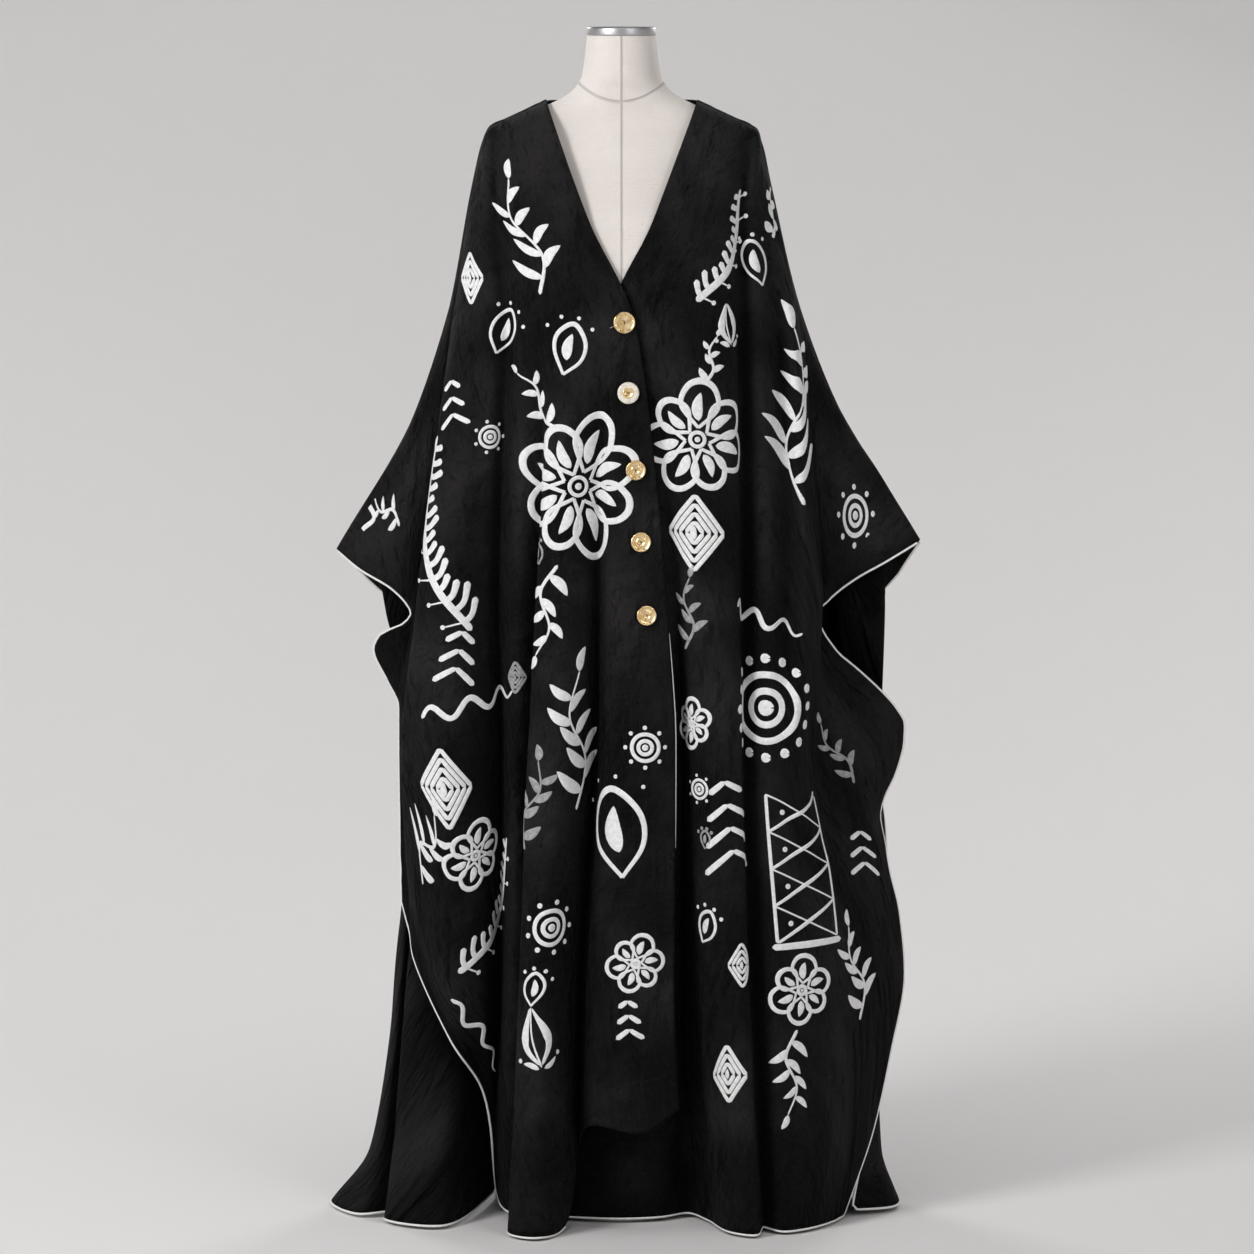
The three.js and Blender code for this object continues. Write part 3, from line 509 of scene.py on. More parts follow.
def creased(grid, turn, facing, creases):
    """The grid with its creases and the small unevenness that hanging linen always has."""
    x, z = grid[..., 0], grid[..., 2]
    side, down = lengths(grid)
    lift = 0.35 * np.sin(side / 31 + 1.3 * np.sin(down / 97)) * np.sin(down / 143 + side / 210)
    lift += 0.25 * np.sin(side / 17 - down / 61) * np.sin(down / 59 + 2)
    for (xa, za), (xb, zb), wide, high in creases:
        run = math.hypot(xb - xa, zb - za)
        ux, uz = (xb - xa) / run, (zb - za) / run
        along = ((x - xa) * ux + (z - za) * uz) / run
        bow = 0.07 * run * np.sin(math.pi * np.clip(along, 0, 1))
        off = (x - xa) * -uz + (z - za) * ux - bow
        fade = np.sin(math.pi * np.clip(along, 0, 1)) ** 0.7
        lift += high * fade * np.exp(-(off / wide) ** 2)
    t = np.linspace(0, 1, grid.shape[1])[None, :]
    lift *= np.clip(down / 60, 0, 1) * np.clip((1 - t) * 30, 0.35, 1)
    made = grid + outward(grid, turn) * lift[..., None]
    lower = made[:, 1:]
    clear_of_form(lower, facing)
    made[:, 1:] = lower
    return made


# %% [markdown]
# ## The three panels
# A panel is a thin wall: the side that faces the body, the side that shows, and the turned edges
# round it. A turned hem is twice as thick as the cloth, so the last centimetre stands a little
# proud, with the shallow groove of its topstitching. Every point also remembers its place on the
# flat cloth, because the weave and the embroidery follow the cloth and not the air around it.

# %% Fine grids
STEPS = 9
HEIGHTS = np.unique(np.concatenate([
    np.linspace(0, 0.03, 7), np.linspace(0.03, 0.16, 20), np.linspace(0.16, 0.45, 38),
    np.linspace(0.45, 0.72, 50), np.linspace(0.72, 0.95, 34), np.linspace(0.95, 1, 13)]).round(6))


class Panel:
    def __init__(self, name, rows, facing, turn, creases):
        self.name, self.facing, self.turn = name, facing, turn
        flat = panel_grid(rows, facing, STEPS, HEIGHTS)
        self.inner = creased(flat, turn, facing, creases)
        self.away = outward(self.inner, turn)
        self.side, self.down = lengths(self.inner)
        edge = np.minimum(self.side, self.side[-1:] - self.side)
        edge = np.minimum(edge, self.down[:, -1:] - self.down)
        hem = np.clip((13 - edge) / 2, 0, 1) * 0.45 - 0.5 * np.exp(-((edge - 10.5) / 1.6) ** 2)
        self.outer = self.inner + self.away * (CLOTH + hem[..., None])
        self.outer[:, 0, 1] = self.inner[:, 0, 1]
        self.middle = (self.inner + self.outer) / 2

    def area(self):
        m = self.middle
        a = np.cross(m[1:, :-1] - m[:-1, :-1], m[:-1, 1:] - m[:-1, :-1])
        b = np.cross(m[:-1, 1:] - m[1:, 1:], m[1:, :-1] - m[1:, 1:])
        return (np.linalg.norm(a, axis=2).sum() + np.linalg.norm(b, axis=2).sum()) / 2 * MM * MM

    def width_at(self, z):
        """Length of the cloth along a level line, which is its width on the roll."""
        crossed = [line for line in self.inner if line[:, 2].min() <= z <= line[:, 2].max()]
        if len(crossed) < 2:
            return 0.0
        points = np.array([[np.interp(-z, -line[:, 2], line[:, k]) for k in (0, 1)] for line in crossed])
        return np.linalg.norm(np.diff(points, axis=0), axis=1).sum()


right = Panel("front_right", FRONT_RIGHT, -1, 1, CREASES_RIGHT)
left = Panel("front_left", FRONT_LEFT, -1, -1, CREASES_LEFT)
back = Panel("back", BACK, 1, 1, CREASES_BACK)
for panel in (right, left, back):
    widest = max(panel.width_at(z) for z in range(10, 1600, 10))
    print(panel.name, panel.inner.shape[:2], "area", round(panel.area(), 3), "m2, hem",
          round(panel.side[-1, -1]), "mm, widest level", round(widest),
          "mm, longest line", round(panel.down[:, -1].max()), "mm")

# %% [markdown]
# ## Building meshes
# Most pieces here are grids of points with faces between them. One helper turns points and faces
# into an object, shades it smooth, gives it its place on the flat cloth and its material, and hangs
# it on the body of the part.

# %% Mesh helpers
def make(name, points, quads, uv=None, material=None, slot=None, smooth_shade=True):
    mesh = bpy.data.meshes.new(name)
    mesh.from_pydata((np.asarray(points, float) * MM).tolist(), [], np.asarray(quads).tolist())
    mesh.update()
    if uv is not None:
        corner = np.empty(len(mesh.loops), dtype=np.int32)
        mesh.loops.foreach_get("vertex_index", corner)
        layer = mesh.uv_layers.new(name="flat")
        layer.data.foreach_set("uv", (np.asarray(uv, float)[corner] * MM).ravel())
    mesh.polygons.foreach_set("use_smooth", np.full(len(mesh.polygons), smooth_shade))
    obj = bpy.data.objects.new(name, mesh)
    bpy.context.scene.collection.objects.link(obj)
    if material is not None:
        mesh.materials.append(material)
    if slot is not None:
        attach(obj, "root")
    return obj


def grid_quads(rows, cols, start=0, flip=False):
    a = (np.arange(rows - 1)[:, None] * cols + np.arange(cols - 1)[None, :]).ravel() + start
    quads = np.stack([a, a + cols, a + cols + 1, a + 1], axis=1)
    return quads[:, ::-1] if flip else quads


def ring_quads(rings, sides, start=0):
    n, k = np.meshgrid(np.arange(rings - 1), np.arange(sides), indexing="ij")
    a = (n * sides + k).ravel() + start
    b = (n * sides + (k + 1) % sides).ravel() + start
    return np.stack([a, b, b + sides, a + sides], axis=1)


def tube(path, radius, sides):
    """Rings of points round a path, which turn with it but never twist."""
    path = np.asarray(path, float)
    along = np.gradient(path, axis=0)
    along /= np.maximum(np.linalg.norm(along, axis=1, keepdims=True), 1e-9)
    radius = np.broadcast_to(radius, len(path))
    angle = np.arange(sides) * 2 * math.pi / sides
    first = np.cross(along[0], (0.3, 0.2, 1.0))
    points = []
    for n in range(len(path)):
        first = first - along[n] * np.dot(first, along[n])
        first = first / max(np.linalg.norm(first), 1e-9)
        second = np.cross(along[n], first)
        ring = np.cos(angle)[:, None] * first + np.sin(angle)[:, None] * second
        points.append(path[n] + ring * radius[n])
    return np.concatenate(points)


def wall(panel, material, slot):
    rows, cols = panel.inner.shape[:2]
    points = np.concatenate([panel.inner.reshape(-1, 3), panel.outer.reshape(-1, 3)])
    flip = panel.turn < 0
    outside = grid_quads(rows, cols, rows * cols, flip)
    inside = grid_quads(rows, cols, 0, not flip)
    loop = np.concatenate([
        np.arange(cols), np.arange(1, rows) * cols + cols - 1,
        (rows - 1) * cols + np.arange(cols - 2, -1, -1), np.arange(rows - 2, 0, -1) * cols])
    after = np.roll(loop, -1)
    rim = np.stack([loop, loop + rows * cols, after + rows * cols, after], axis=1)
    rim = rim if not flip else rim[:, ::-1]
    place = np.stack([panel.side, -panel.down], axis=-1).reshape(-1, 2)
    return make(panel.name + "_cloth", points, np.concatenate([outside, inside, rim]),
                np.concatenate([place, place]), material, slot)

# %% [markdown]
# ## Materials
# Linen is a plain weave: one thread over, one under, about ten to the centimetre, and its threads
# swell here and there into slubs. On black linen the weave shows as a dull bloom rather than as a
# pattern. So the threads are waves along the two directions of the flat cloth, the slubs are noise
# stretched along each of them, and both go mostly into the bump.

# %% A small helper for node materials
class Finish:
    def __init__(self, name):
        self.mat = bpy.data.materials.new(name)
        self.mat.use_nodes = True
        self.tree = self.mat.node_tree
        self.shader = self.tree.nodes["Principled BSDF"]

    def node(self, kind, inputs=None, **settings):
        made = self.tree.nodes.new("ShaderNode" + kind)
        for key, value in settings.items():
            setattr(made, key, value)
        for key, value in (inputs or {}).items():
            self.put(made, key, value)
        return made

    def put(self, node, key, value):
        if isinstance(value, bpy.types.NodeSocket):
            self.tree.links.new(value, node.inputs[key])
        else:
            node.inputs[key].default_value = value

    def math(self, operation, a, b=0.0, clamp=False):
        return self.node("Math", {0: a, 1: b}, operation=operation, use_clamp=clamp).outputs[0]

    def mix(self, share, a, b):
        made = self.node("Mix", {0: share}, data_type="RGBA")
        self.put(made, 6, a)
        self.put(made, 7, b)
        return made.outputs[2]

    def ramp(self, value, low, high):
        return self.node("MapRange", {0: value, 1: low, 2: high}, interpolation_type="SMOOTHSTEP").outputs[0]

    def noise(self, place, scale, detail=3.0, stretch=(1, 1, 1)):
        moved = self.node("Mapping", {"Vector": place, "Scale": stretch}).outputs[0]
        return self.node("TexNoise", {"Vector": moved, "Scale": scale, "Detail": detail}).outputs[0]

    def bump(self, height, distance, strength=1.0, under=None):
        made = self.node("Bump", {"Height": height, "Distance": distance, "Strength": strength})
        if under is not None:
            self.put(made, "Normal", under)
        return made.outputs[0]

    def set(self, **values):
        for key, value in values.items():
            self.put(self.shader, key.replace("_", " "), value)
        return self.mat


def threads(finish, place, pitch):
    """Height of a plain weave: two sets of rounded threads that pass over each other in turn."""
    split = finish.node("SeparateXYZ", {0: place})
    u = finish.math("MULTIPLY", split.outputs[0], math.pi / pitch)
    v = finish.math("MULTIPLY", split.outputs[1], math.pi / pitch)
    warp = finish.math("ABSOLUTE", finish.math("SINE", u))
    weft = finish.math("ABSOLUTE", finish.math("SINE", v))
    turn = finish.math("MULTIPLY", finish.math("SINE", u), finish.math("SINE", v))
    over = finish.ramp(turn, -0.2, 0.2)
    first = finish.math("MULTIPLY", warp, over)
    second = finish.math("MULTIPLY", weft, finish.math("SUBTRACT", 1.0, over))
    return finish.math("ADD", first, second)


# %% Black linen
def black_linen():
    f = Finish("black_linen")
    flat = f.node("UVMap", uv_map="flat").outputs[0]
    weave = threads(f, flat, 0.0009)
    slub_down = f.noise(flat, 1.0, 4.0, (420, 9, 1))
    slub_across = f.noise(flat, 1.0, 4.0, (9, 420, 1))
    slubs = f.math("ADD", f.ramp(slub_down, 0.55, 0.8), f.ramp(slub_across, 0.55, 0.8))
    crumple = f.noise(flat, 9.0, 5.0, (1, 0.6, 1))
    fine_crumple = f.noise(flat, 38.0, 4.0, (1, 0.7, 1))
    # Broad lighter and darker patches: partly the linen's own uneven tone, partly painted shade standing in
    # for the light and shade of its crumples.
    tone_and_painted_crumple_shade = f.ramp(f.noise(flat, 5.0, 4.0), 0.35, 0.75)
    base = f.mix(tone_and_painted_crumple_shade, (0.0042, 0.0040, 0.0042, 1), (0.025, 0.0232, 0.024, 1))
    base = f.mix(f.math("MULTIPLY", slubs, 0.55, True), base, (0.022, 0.021, 0.021, 1))
    # The low places of the weave, between its threads, are darkened: painted shade.
    base = f.mix(f.ramp(weave, 0.35, 0.0), base, (0.002, 0.002, 0.002, 1))
    # Ambient occlusion turns the colour near black in deep folds, in hollows and between layers: painted
    # shade.
    painted_fold_shade = f.node("AmbientOcclusion", {"Distance": 0.16}, samples=6).outputs[1]
    base = f.mix(f.ramp(painted_fold_shade, 0.3, 0.98), (0.0010, 0.0010, 0.0010, 1), base)
    normal = f.bump(crumple, 0.085, 1.0)
    normal = f.bump(fine_crumple, 0.022, 1.0, normal)
    normal = f.bump(slubs, 0.00045, 0.6, normal)
    normal = f.bump(weave, 0.00035, 0.7, normal)
    return f.set(Base_Color=base, Roughness=0.82, Specular_IOR_Level=0.06, Sheen_Weight=0.02,
                 Sheen_Roughness=0.55, Sheen_Tint=(0.75, 0.77, 0.82, 1), Normal=normal)


# %% White thread and silver-grey thread
def thread(name, light, dark, sheen):
    f = Finish(name)
    flat = f.node("UVMap", uv_map="flat").outputs[0]
    split = f.node("SeparateXYZ", {0: flat})
    along = f.math("MULTIPLY", split.outputs[0], 2600)
    slant = f.math("ADD", along, f.math("MULTIPLY", split.outputs[1], 900))
    stitch = f.math("ABSOLUTE", f.math("SINE", slant))
    uneven = f.noise(flat, 160.0, 3.0)
    colour = f.mix(f.ramp(uneven, 0.3, 0.75), dark, light)
    # Where the twist of the thread dips between its strands the colour is darkened: painted shade.
    colour = f.mix(f.ramp(stitch, 0.3, 0.0), colour, tuple(c * 0.55 for c in dark[:3]) + (1,))
    normal = f.bump(stitch, 0.0004, 0.5)
    normal = f.bump(uneven, 0.0003, 0.4, normal)
    return f.set(Base_Color=colour, Roughness=0.55, Specular_IOR_Level=0.4, Sheen_Weight=sheen,
                 Sheen_Roughness=0.4, Normal=normal)


BLACK = black_linen()
WHITE_THREAD = thread("white_thread", (0.92, 0.92, 0.91, 1), (0.76, 0.76, 0.77, 1), 0.15)
SILVER_THREAD = thread("silver_thread", (0.42, 0.42, 0.43, 1), (0.26, 0.26, 0.27, 1), 0.3)
PIPING = thread("white_piping", (0.92, 0.92, 0.9, 1), (0.8, 0.8, 0.79, 1), 0.1)
print("materials:", [m.name for m in bpy.data.materials if m.use_nodes])

# %% [markdown]
# ## Hanging the cloth
# Each panel replaces its plain solid.

# %% Cloth pieces
for panel in (right, left, back):
    wall(panel, BLACK, "black_linen")
    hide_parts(panel.name)

# %% [markdown]
# ## Piping
# A strip of white cotton is folded over the raw edge and stitched down, so it reads as a thin round
# cord that runs along the edge. It follows the side edges and turns the corner into the hem. The
# hem of the middle panel, on the lap, has a plain turned edge, so its piping stops at the fold.

# %% Piping along the edges
def edge_run(panel, places):
    """Points just off the cloth's edge. places are (line, height, inner line, inner height)."""
    p = np.array([panel.middle[i, j] for i, j, _, _ in places])
    inner = np.array([panel.middle[i, j] for _, _, i, j in places])
    along = np.gradient(p, axis=0)
    along /= np.maximum(np.linalg.norm(along, axis=1, keepdims=True), 1e-9)
    out = p - inner
    out -= along * (out * along).sum(axis=1, keepdims=True)
    out /= np.maximum(np.linalg.norm(out, axis=1, keepdims=True), 1e-9)
    for _ in range(3):
        out[1:-1] = (out[:-2] + 2 * out[1:-1] + out[2:]) / 4
    return p + out * 1.3


def cord_piece(name, path, radius, node=None, sides=10, material=None):
    points = tube(path, radius, sides)
    run = np.concatenate([[0], np.cumsum(np.linalg.norm(np.diff(path, axis=0), axis=1))])
    uv = np.stack([np.repeat(run, sides), np.tile(np.arange(sides) * 1.2, len(path))], axis=1)
    quads = ring_quads(len(path), sides)
    obj = make(name, points, quads, uv, material or PIPING, "white_piping")
    if node is not None:
        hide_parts(node)
    return obj


def side_places(panel, last_line):
    i = len(panel.inner) - 1 if last_line else 0
    step = -1 if last_line else 1
    return [(i, j, i + step, j) for j in range(3, len(HEIGHTS) - 1)]


def hem_places(lines):
    j = len(HEIGHTS) - 1
    return [(i, j, i, j - 1) for i in lines]


side = len(right.inner) - 1
cord_piece("piping_right_edge", edge_run(
    right, side_places(right, True) + hem_places(range(side - 1, 4 * STEPS - 1, -1))),
    1.9, "piping_front_right")
side = len(left.inner) - 1
cord_piece("piping_left_edge", edge_run(
    left, side_places(left, True) + hem_places(range(side - 1, -1, -1))),
    1.9, "piping_front_left")
side = len(back.inner) - 1
cord_piece("piping_back_edge", edge_run(
    back, side_places(back, False) + hem_places(range(1, side)) + side_places(back, True)[::-1]),
    1.9, "piping_back")

# The lapping edge has a very thin line of it, which shows below the last button.
low = [(0, j, 1, j) for j in range(len(HEIGHTS)) if 560 < right.middle[0, j, 2] < 872]
lap = edge_run(right, low)
thin = 0.25 + 0.65 * np.sin(np.linspace(0, math.pi, len(lap))) ** 0.5
cord_piece("lap_edge", lap, thin, None, 6)

# %% [markdown]
# ## Buttons
# The buttons are turned metal, plated in gold, with a raised rim, a hammered face and a shank that
# leaves a small slit in the middle, drawn as a flat near-black face: painted shade of its hollow. The
# second one has a cream face with a gold ring. The lap carries them, so each one is found again on the
# fine cloth at its own height, at the same distance from the edge as on the solid model, and it lies
# flat on the cloth there.

# %% Where a button sits
BUTTONS = [(1309, 15), (1210, 26), (1101, 28), (999, 30), (895, 30)]


def on_lap(height, inset):
    found = []
    for i in range(4 * STEPS + 1):
        line = right.outer[i]
        j = int(np.argmax(line[:, 2] < height))
        s = (line[j - 1, 2] - height) / (line[j - 1, 2] - line[j, 2])
        found.append((line[j - 1] * (1 - s) + line[j] * s, right.away[i, j]))
    x = found[0][0][0] - inset
    k = next(n for n, (p, _) in enumerate(found) if p[0] < x)
    s = (found[k - 1][0][0] - x) / (found[k - 1][0][0] - found[k][0][0])
    place = found[k - 1][0] * (1 - s) + found[k][0] * s
    away = found[k - 1][1] * (1 - s) + found[k][1] * s
    return place, away / np.linalg.norm(away)


# %% Button metal
def gold():
    f = Finish("gold_plate")
    here = f.node("TexCoord").outputs["Object"]
    hammered = f.noise(here, 420.0, 3.0)
    worn = f.ramp(f.noise(here, 160.0, 4.0), 0.4, 0.65)
    colour = f.mix(worn, (0.80, 0.55, 0.25, 1), (0.93, 0.73, 0.43, 1))
    rough = f.math("ADD", 0.2, f.math("MULTIPLY", worn, 0.14))
    return f.set(Base_Color=colour, Metallic=1.0, Roughness=rough, Normal=f.bump(hammered, 0.0008, 0.4))


def cream_face():
    f = Finish("cream_face")
    here = f.node("TexCoord").outputs["Object"]
    cloud = f.ramp(f.noise(here, 260.0, 4.0), 0.35, 0.7)
    colour = f.mix(cloud, (0.80, 0.76, 0.68, 1), (0.62, 0.56, 0.46, 1))
    return f.set(Base_Color=colour, Roughness=0.3, Coat_Weight=0.3, Normal=f.bump(cloud, 0.0004, 0.3))


# The slit is a flat near-black face on the button, with a faint mottle: painted shade of the hollow it
# stands for.
def slit_shade_finish():
    f = Finish("dark_slit")
    here = f.node("TexCoord").outputs["Object"]
    slit_shade_mottle = f.noise(here, 900.0, 3.0)
    colour = f.mix(slit_shade_mottle, (0.012, 0.009, 0.006, 1), (0.035, 0.025, 0.015, 1))
    return f.set(Base_Color=colour, Roughness=0.7, Normal=f.bump(slit_shade_mottle, 0.0002, 0.4))


GOLD, CREAM_FACE, SLIT_SHADE = gold(), cream_face(), slit_shade_finish()

# %% Turning a button
GOLD_FACE = [(0, 0), (14.3, 0), (15.3, 0.5), (15.5, 1.5), (15.3, 2.8), (14.8, 3.4), (14.1, 3.6),
             (13.3, 3.4), (12.6, 2.8), (11.8, 2.35), (9.5, 2.3), (7.4, 2.5), (6.6, 3.0), (5.9, 3.3),
             (5.2, 3.1), (4.7, 2.5), (3.0, 2.2), (0, 2.2)]
PLAIN_FACE = [(0, 0), (14.3, 0), (15.3, 0.5), (15.5, 1.5), (15.3, 2.8), (14.8, 3.4), (14.1, 3.6),
              (13.3, 3.4), (12.6, 2.9), (11.6, 2.6), (8.5, 2.9), (5.0, 3.1), (2.6, 3.1), (0, 3.1)]
CREAM_DISC = [(0, 0), (14.3, 0), (15.3, 0.6), (15.5, 1.5), (15.2, 2.6), (14.2, 3.3), (12.6, 3.6),
              (9.0, 3.3), (8.1, 2.9), (7.8, 3.0), (7.4, 3.5), (6.6, 3.7), (5.8, 3.5), (5.3, 2.9),
              (3.4, 2.5), (0, 2.5)]


def turned(profile, sides):
    points = [(0, 0, profile[0][1])]
    angle = np.arange(sides) * 2 * math.pi / sides
    for radius, height in profile[1:-1]:
        points += [(radius * math.cos(a), radius * math.sin(a), height) for a in angle]
    points.append((0, 0, profile[-1][1]))
    rings = len(profile) - 2
    faces = [list(q) for q in ring_quads(rings, sides, 1)]
    last = 1 + (rings - 1) * sides
    for k in range(sides):
        after = (k + 1) % sides
        faces.append([0, 1 + after, 1 + k])
        faces.append([last + k, last + after, len(points) - 1])
    return points, faces


def smooth_mesh(name, points, faces, materials, pick=None):
    mesh = bpy.data.meshes.new(name)
    mesh.from_pydata([tuple(c * MM for c in p) for p in points], [], faces)
    mesh.update()
    for material in materials:
        mesh.materials.append(material)
    for face in mesh.polygons:
        face.use_smooth = True
        if pick is not None:
            face.material_index = pick(face.center / MM)
    obj = bpy.data.objects.new(name, mesh)
    bpy.context.scene.collection.objects.link(obj)
    return obj


def button(number, height, inset):
    place, away = on_lap(height, inset)
    cream = number == 2
    profile = CREAM_DISC if cream else (PLAIN_FACE if number == 1 else GOLD_FACE)
    shrink = 1.0 if number < 3 else 0.92
    points, faces = turned([(r * shrink, h) for r, h in profile], 48)
    turn = 0.5 + number * 1.3
    uneven = []
    for x, y, z in points:
        ripple = 0.16 * math.sin(5 * math.atan2(y, x) + number) * min(1, math.hypot(x, y) / 8)
        uneven.append((x, y, z + (ripple if z > 2.1 and not cream else 0)))
    # The slit: a flat dark face just over the top of the button, painted shade of its hollow.
    slit = len(uneven)
    half, width = (3.4, 0.9) if number == 1 else (2.1, 0.8)
    top = profile[-1][1] + 0.12
    for k in range(16):
        a = k * math.pi / 8
        x, y = half * math.cos(a), width * math.sin(a)
        turned_x = x * math.cos(turn) - y * math.sin(turn)
        uneven.append((turned_x, x * math.sin(turn) + y * math.cos(turn), top))
    faces.append(list(range(slit, slit + 16)))
    materials = [GOLD, SLIT_SHADE] if not cream else [CREAM_FACE, SLIT_SHADE, GOLD]

    def pick(centre):
        if abs(centre.z - top) < 0.02 and math.hypot(centre.x, centre.y) < 0.6:
            return 1
        if cream and 0 < math.hypot(centre.x, centre.y) < 8.0 and centre.z > 2:
            return 2
        return 0

    obj = smooth_mesh(f"button_{number}_made", uneven, faces, materials, pick)
    facing = Vector(away).to_track_quat("Z", "Y")
    obj.rotation_mode = "QUATERNION"
    obj.rotation_quaternion = facing
    obj.location = Vector((place + away * 0.4) * MM)
    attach(obj, "root")
    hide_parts(f"button_{number}")
    return obj, place, away


made_buttons = [button(n + 1, z, inset) for n, (z, inset) in enumerate(BUTTONS)]
for obj, place, _ in made_buttons:
    print(obj.name, "at", place.round(1))

# %% [markdown]
# A buttonhole is a slit whose edges are whipped with thread. Only the first one peeps out beside its
# button; the others lie under theirs, and each shows as a short dark grey bar past the rim.

# %% Buttonholes
def buttonhole(number, place, away, slant):
    across_way = np.array([math.cos(slant), 0, math.sin(slant)])
    across_way -= away * np.dot(across_way, away)
    across_way /= np.linalg.norm(across_way)
    steps = np.linspace(-13, 22 if number == 1 else 18, 40)
    path = np.array([place - across_way * s for s in steps])
    offsets = np.array([away * (0.25 + 0.25 * math.sin(k * 2.1)) for k in range(40)])
    bar = cord_piece(f"buttonhole_{number}", path + offsets, 0.55, None, 6,
                     SILVER_THREAD if number == 1 else BLACK)
    return bar


for n, (_, place, away) in enumerate(made_buttons):
    buttonhole(n + 1, place, away, 0.35 if n == 0 else 0.05)

# %% [markdown]
# ## The dress form
# The form is a padded body covered tightly in natural linen. One seam runs down the middle of the
# front and one down the back, and a curved seam joins the neck to the shoulders. The cover is drawn
# on the rings of the solid model with many more points between them.

# %% Cover linen
def cream_linen():
    f = Finish("form_linen")
    here = f.node("TexCoord").outputs["Object"]
    split = f.node("SeparateXYZ", {0: here})
    x, _, z = split.outputs
    flat = f.node("CombineXYZ", {0: x, 1: z}).outputs[0]
    weave = threads(f, flat, 0.0008)
    slub = f.math("ADD", f.ramp(f.noise(here, 1.0, 3.0, (60, 60, 900)), 0.5, 0.8),
                  f.ramp(f.noise(here, 1.0, 3.0, (900, 900, 40)), 0.52, 0.8))
    cloud = f.ramp(f.noise(here, 14.0, 4.0), 0.3, 0.7)
    fleck = f.ramp(f.noise(here, 700.0, 2.0), 0.64, 0.78)
    colour = f.mix(cloud, (0.79, 0.735, 0.69, 1), (0.84, 0.785, 0.745, 1))
    colour = f.mix(f.math("MULTIPLY", slub, 0.35, True), colour, (0.69, 0.63, 0.57, 1))
    colour = f.mix(f.math("MULTIPLY", fleck, 0.4), colour, (0.40, 0.33, 0.25, 1))
    middle = f.math("ABSOLUTE", f.math("SUBTRACT", x, 0.0015))
    squared = f.math("MULTIPLY", f.math("MULTIPLY", x, x), 7.0)
    neck = f.math("ABSOLUTE", f.math("SUBTRACT", f.math("SUBTRACT", z, squared), 1.6175))
    seam = f.math("MINIMUM", middle, neck)
    groove = f.ramp(seam, 0.0032, 0.0)
    line = f.ramp(seam, 0.0013, 0.0005)
    colour = f.mix(f.math("MULTIPLY", line, 0.3), colour, (0.30, 0.26, 0.22, 1))
    normal = f.bump(f.math("SUBTRACT", 0.0, groove), 0.003, 0.8)
    normal = f.bump(slub, 0.0004, 0.5, normal)
    normal = f.bump(weave, 0.0004, 0.6, normal)
    return f.set(Base_Color=colour, Roughness=0.85, Specular_IOR_Level=0.25, Sheen_Weight=0.15,
                 Sheen_Roughness=0.5, Normal=normal)


FORM_LINEN = cream_linen()


# %% Form
def form_piece():
    heights = np.unique(np.concatenate([np.linspace(a, b, 9) for a, b in zip(FORM_Z[:-1], FORM_Z[1:])]))
    sides = 128
    angle = np.arange(sides) * 2 * math.pi / sides
    size = {k: smooth(FORM_Z, v, slopes(FORM_Z, v), heights) for k, v in FORM_SIZE.items()}
    rings = []
    for k, z in enumerate(heights):
        depth = np.where(np.sin(angle) < 0, size["front"][k], size["back"][k])
        ring = [size["side"][k] * np.cos(angle), depth * np.sin(angle), np.full(sides, z)]
        rings.append(np.stack(ring, axis=1))
    points = np.concatenate(rings)
    girth = np.tile(angle * 110, len(heights))
    uv = np.stack([girth, points[:, 2]], axis=1)
    quads = ring_quads(len(heights), sides)
    obj = make("form_cover", points, quads, uv, FORM_LINEN, "cream_linen")
    for ring, z in ((0, heights[0]), (len(heights) - 1, heights[-1])):
        start = ring * sides
        lid = points[start:start + sides] * [0.996, 0.996, 1]
        centre = lid.mean(axis=0)
        lid_points = np.concatenate([lid, [centre]])
        faces = [[k, (k + 1) % sides, sides] if ring else [(k + 1) % sides, k, sides] for k in range(sides)]
        make(f"form_end_{ring}", lid_points, faces, lid_points[:, :2], FORM_LINEN, "cream_linen")
    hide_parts("dress_form")
    return obj


form = form_piece()
print("form", len(form.data.vertices), "points")

# %% [markdown]
# ## Steel
# The cap is a brushed steel disc, turned with a small bevel, so its brush marks run round it. The
# pole is drawn tube with marks along it, and the base is a heavy plate that the hem hides. The cap
# gets a finer turned piece; the pole and the base keep their solids and only get a finish.

# %% Steel finish and cap
def steel(name, stretch):
    f = Finish(name)
    here = f.node("TexCoord").outputs["Object"]
    brushed = f.noise(here, 1.0, 4.0, stretch)
    smudge = f.ramp(f.noise(here, 30.0, 4.0), 0.35, 0.7)
    colour = f.mix(brushed, (0.36, 0.36, 0.37, 1), (0.56, 0.56, 0.57, 1))
    rough = f.math("ADD", 0.38, f.math("MULTIPLY", smudge, 0.12))
    return f.set(Base_Color=colour, Metallic=1.0, Roughness=rough, Normal=f.bump(brushed, 0.0003, 0.35))


CAP_PROFILE = [(0, 1711.6), (48.9, 1711.6), (49.4, 1712.0), (49.5, 1712.8), (49.5, 1721.3),
               (49.2, 1722.2), (48.5, 1722.8), (47.6, 1723.0), (20, 1723.0), (0, 1723.0)]
points, faces = turned(CAP_PROFILE, 128)
cap = smooth_mesh("cap_turned", points, faces, [steel("cap_steel", (30, 30, 2600))])
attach(cap, "root")
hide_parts("neck_cap")

for node, stretch in (("pole", (2200, 2200, 12)), ("base", (1500, 30, 30))):
    owner = bpy.data.objects[node] if node in bpy.data.objects else None
    for o in bpy.context.scene.objects:
        if o.get("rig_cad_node") == node:
            owner = o
    owner.data.materials.clear()
    owner.data.materials.append(steel(f"{node}_steel", stretch))
    print(node, "has", owner.data.materials[0].name)

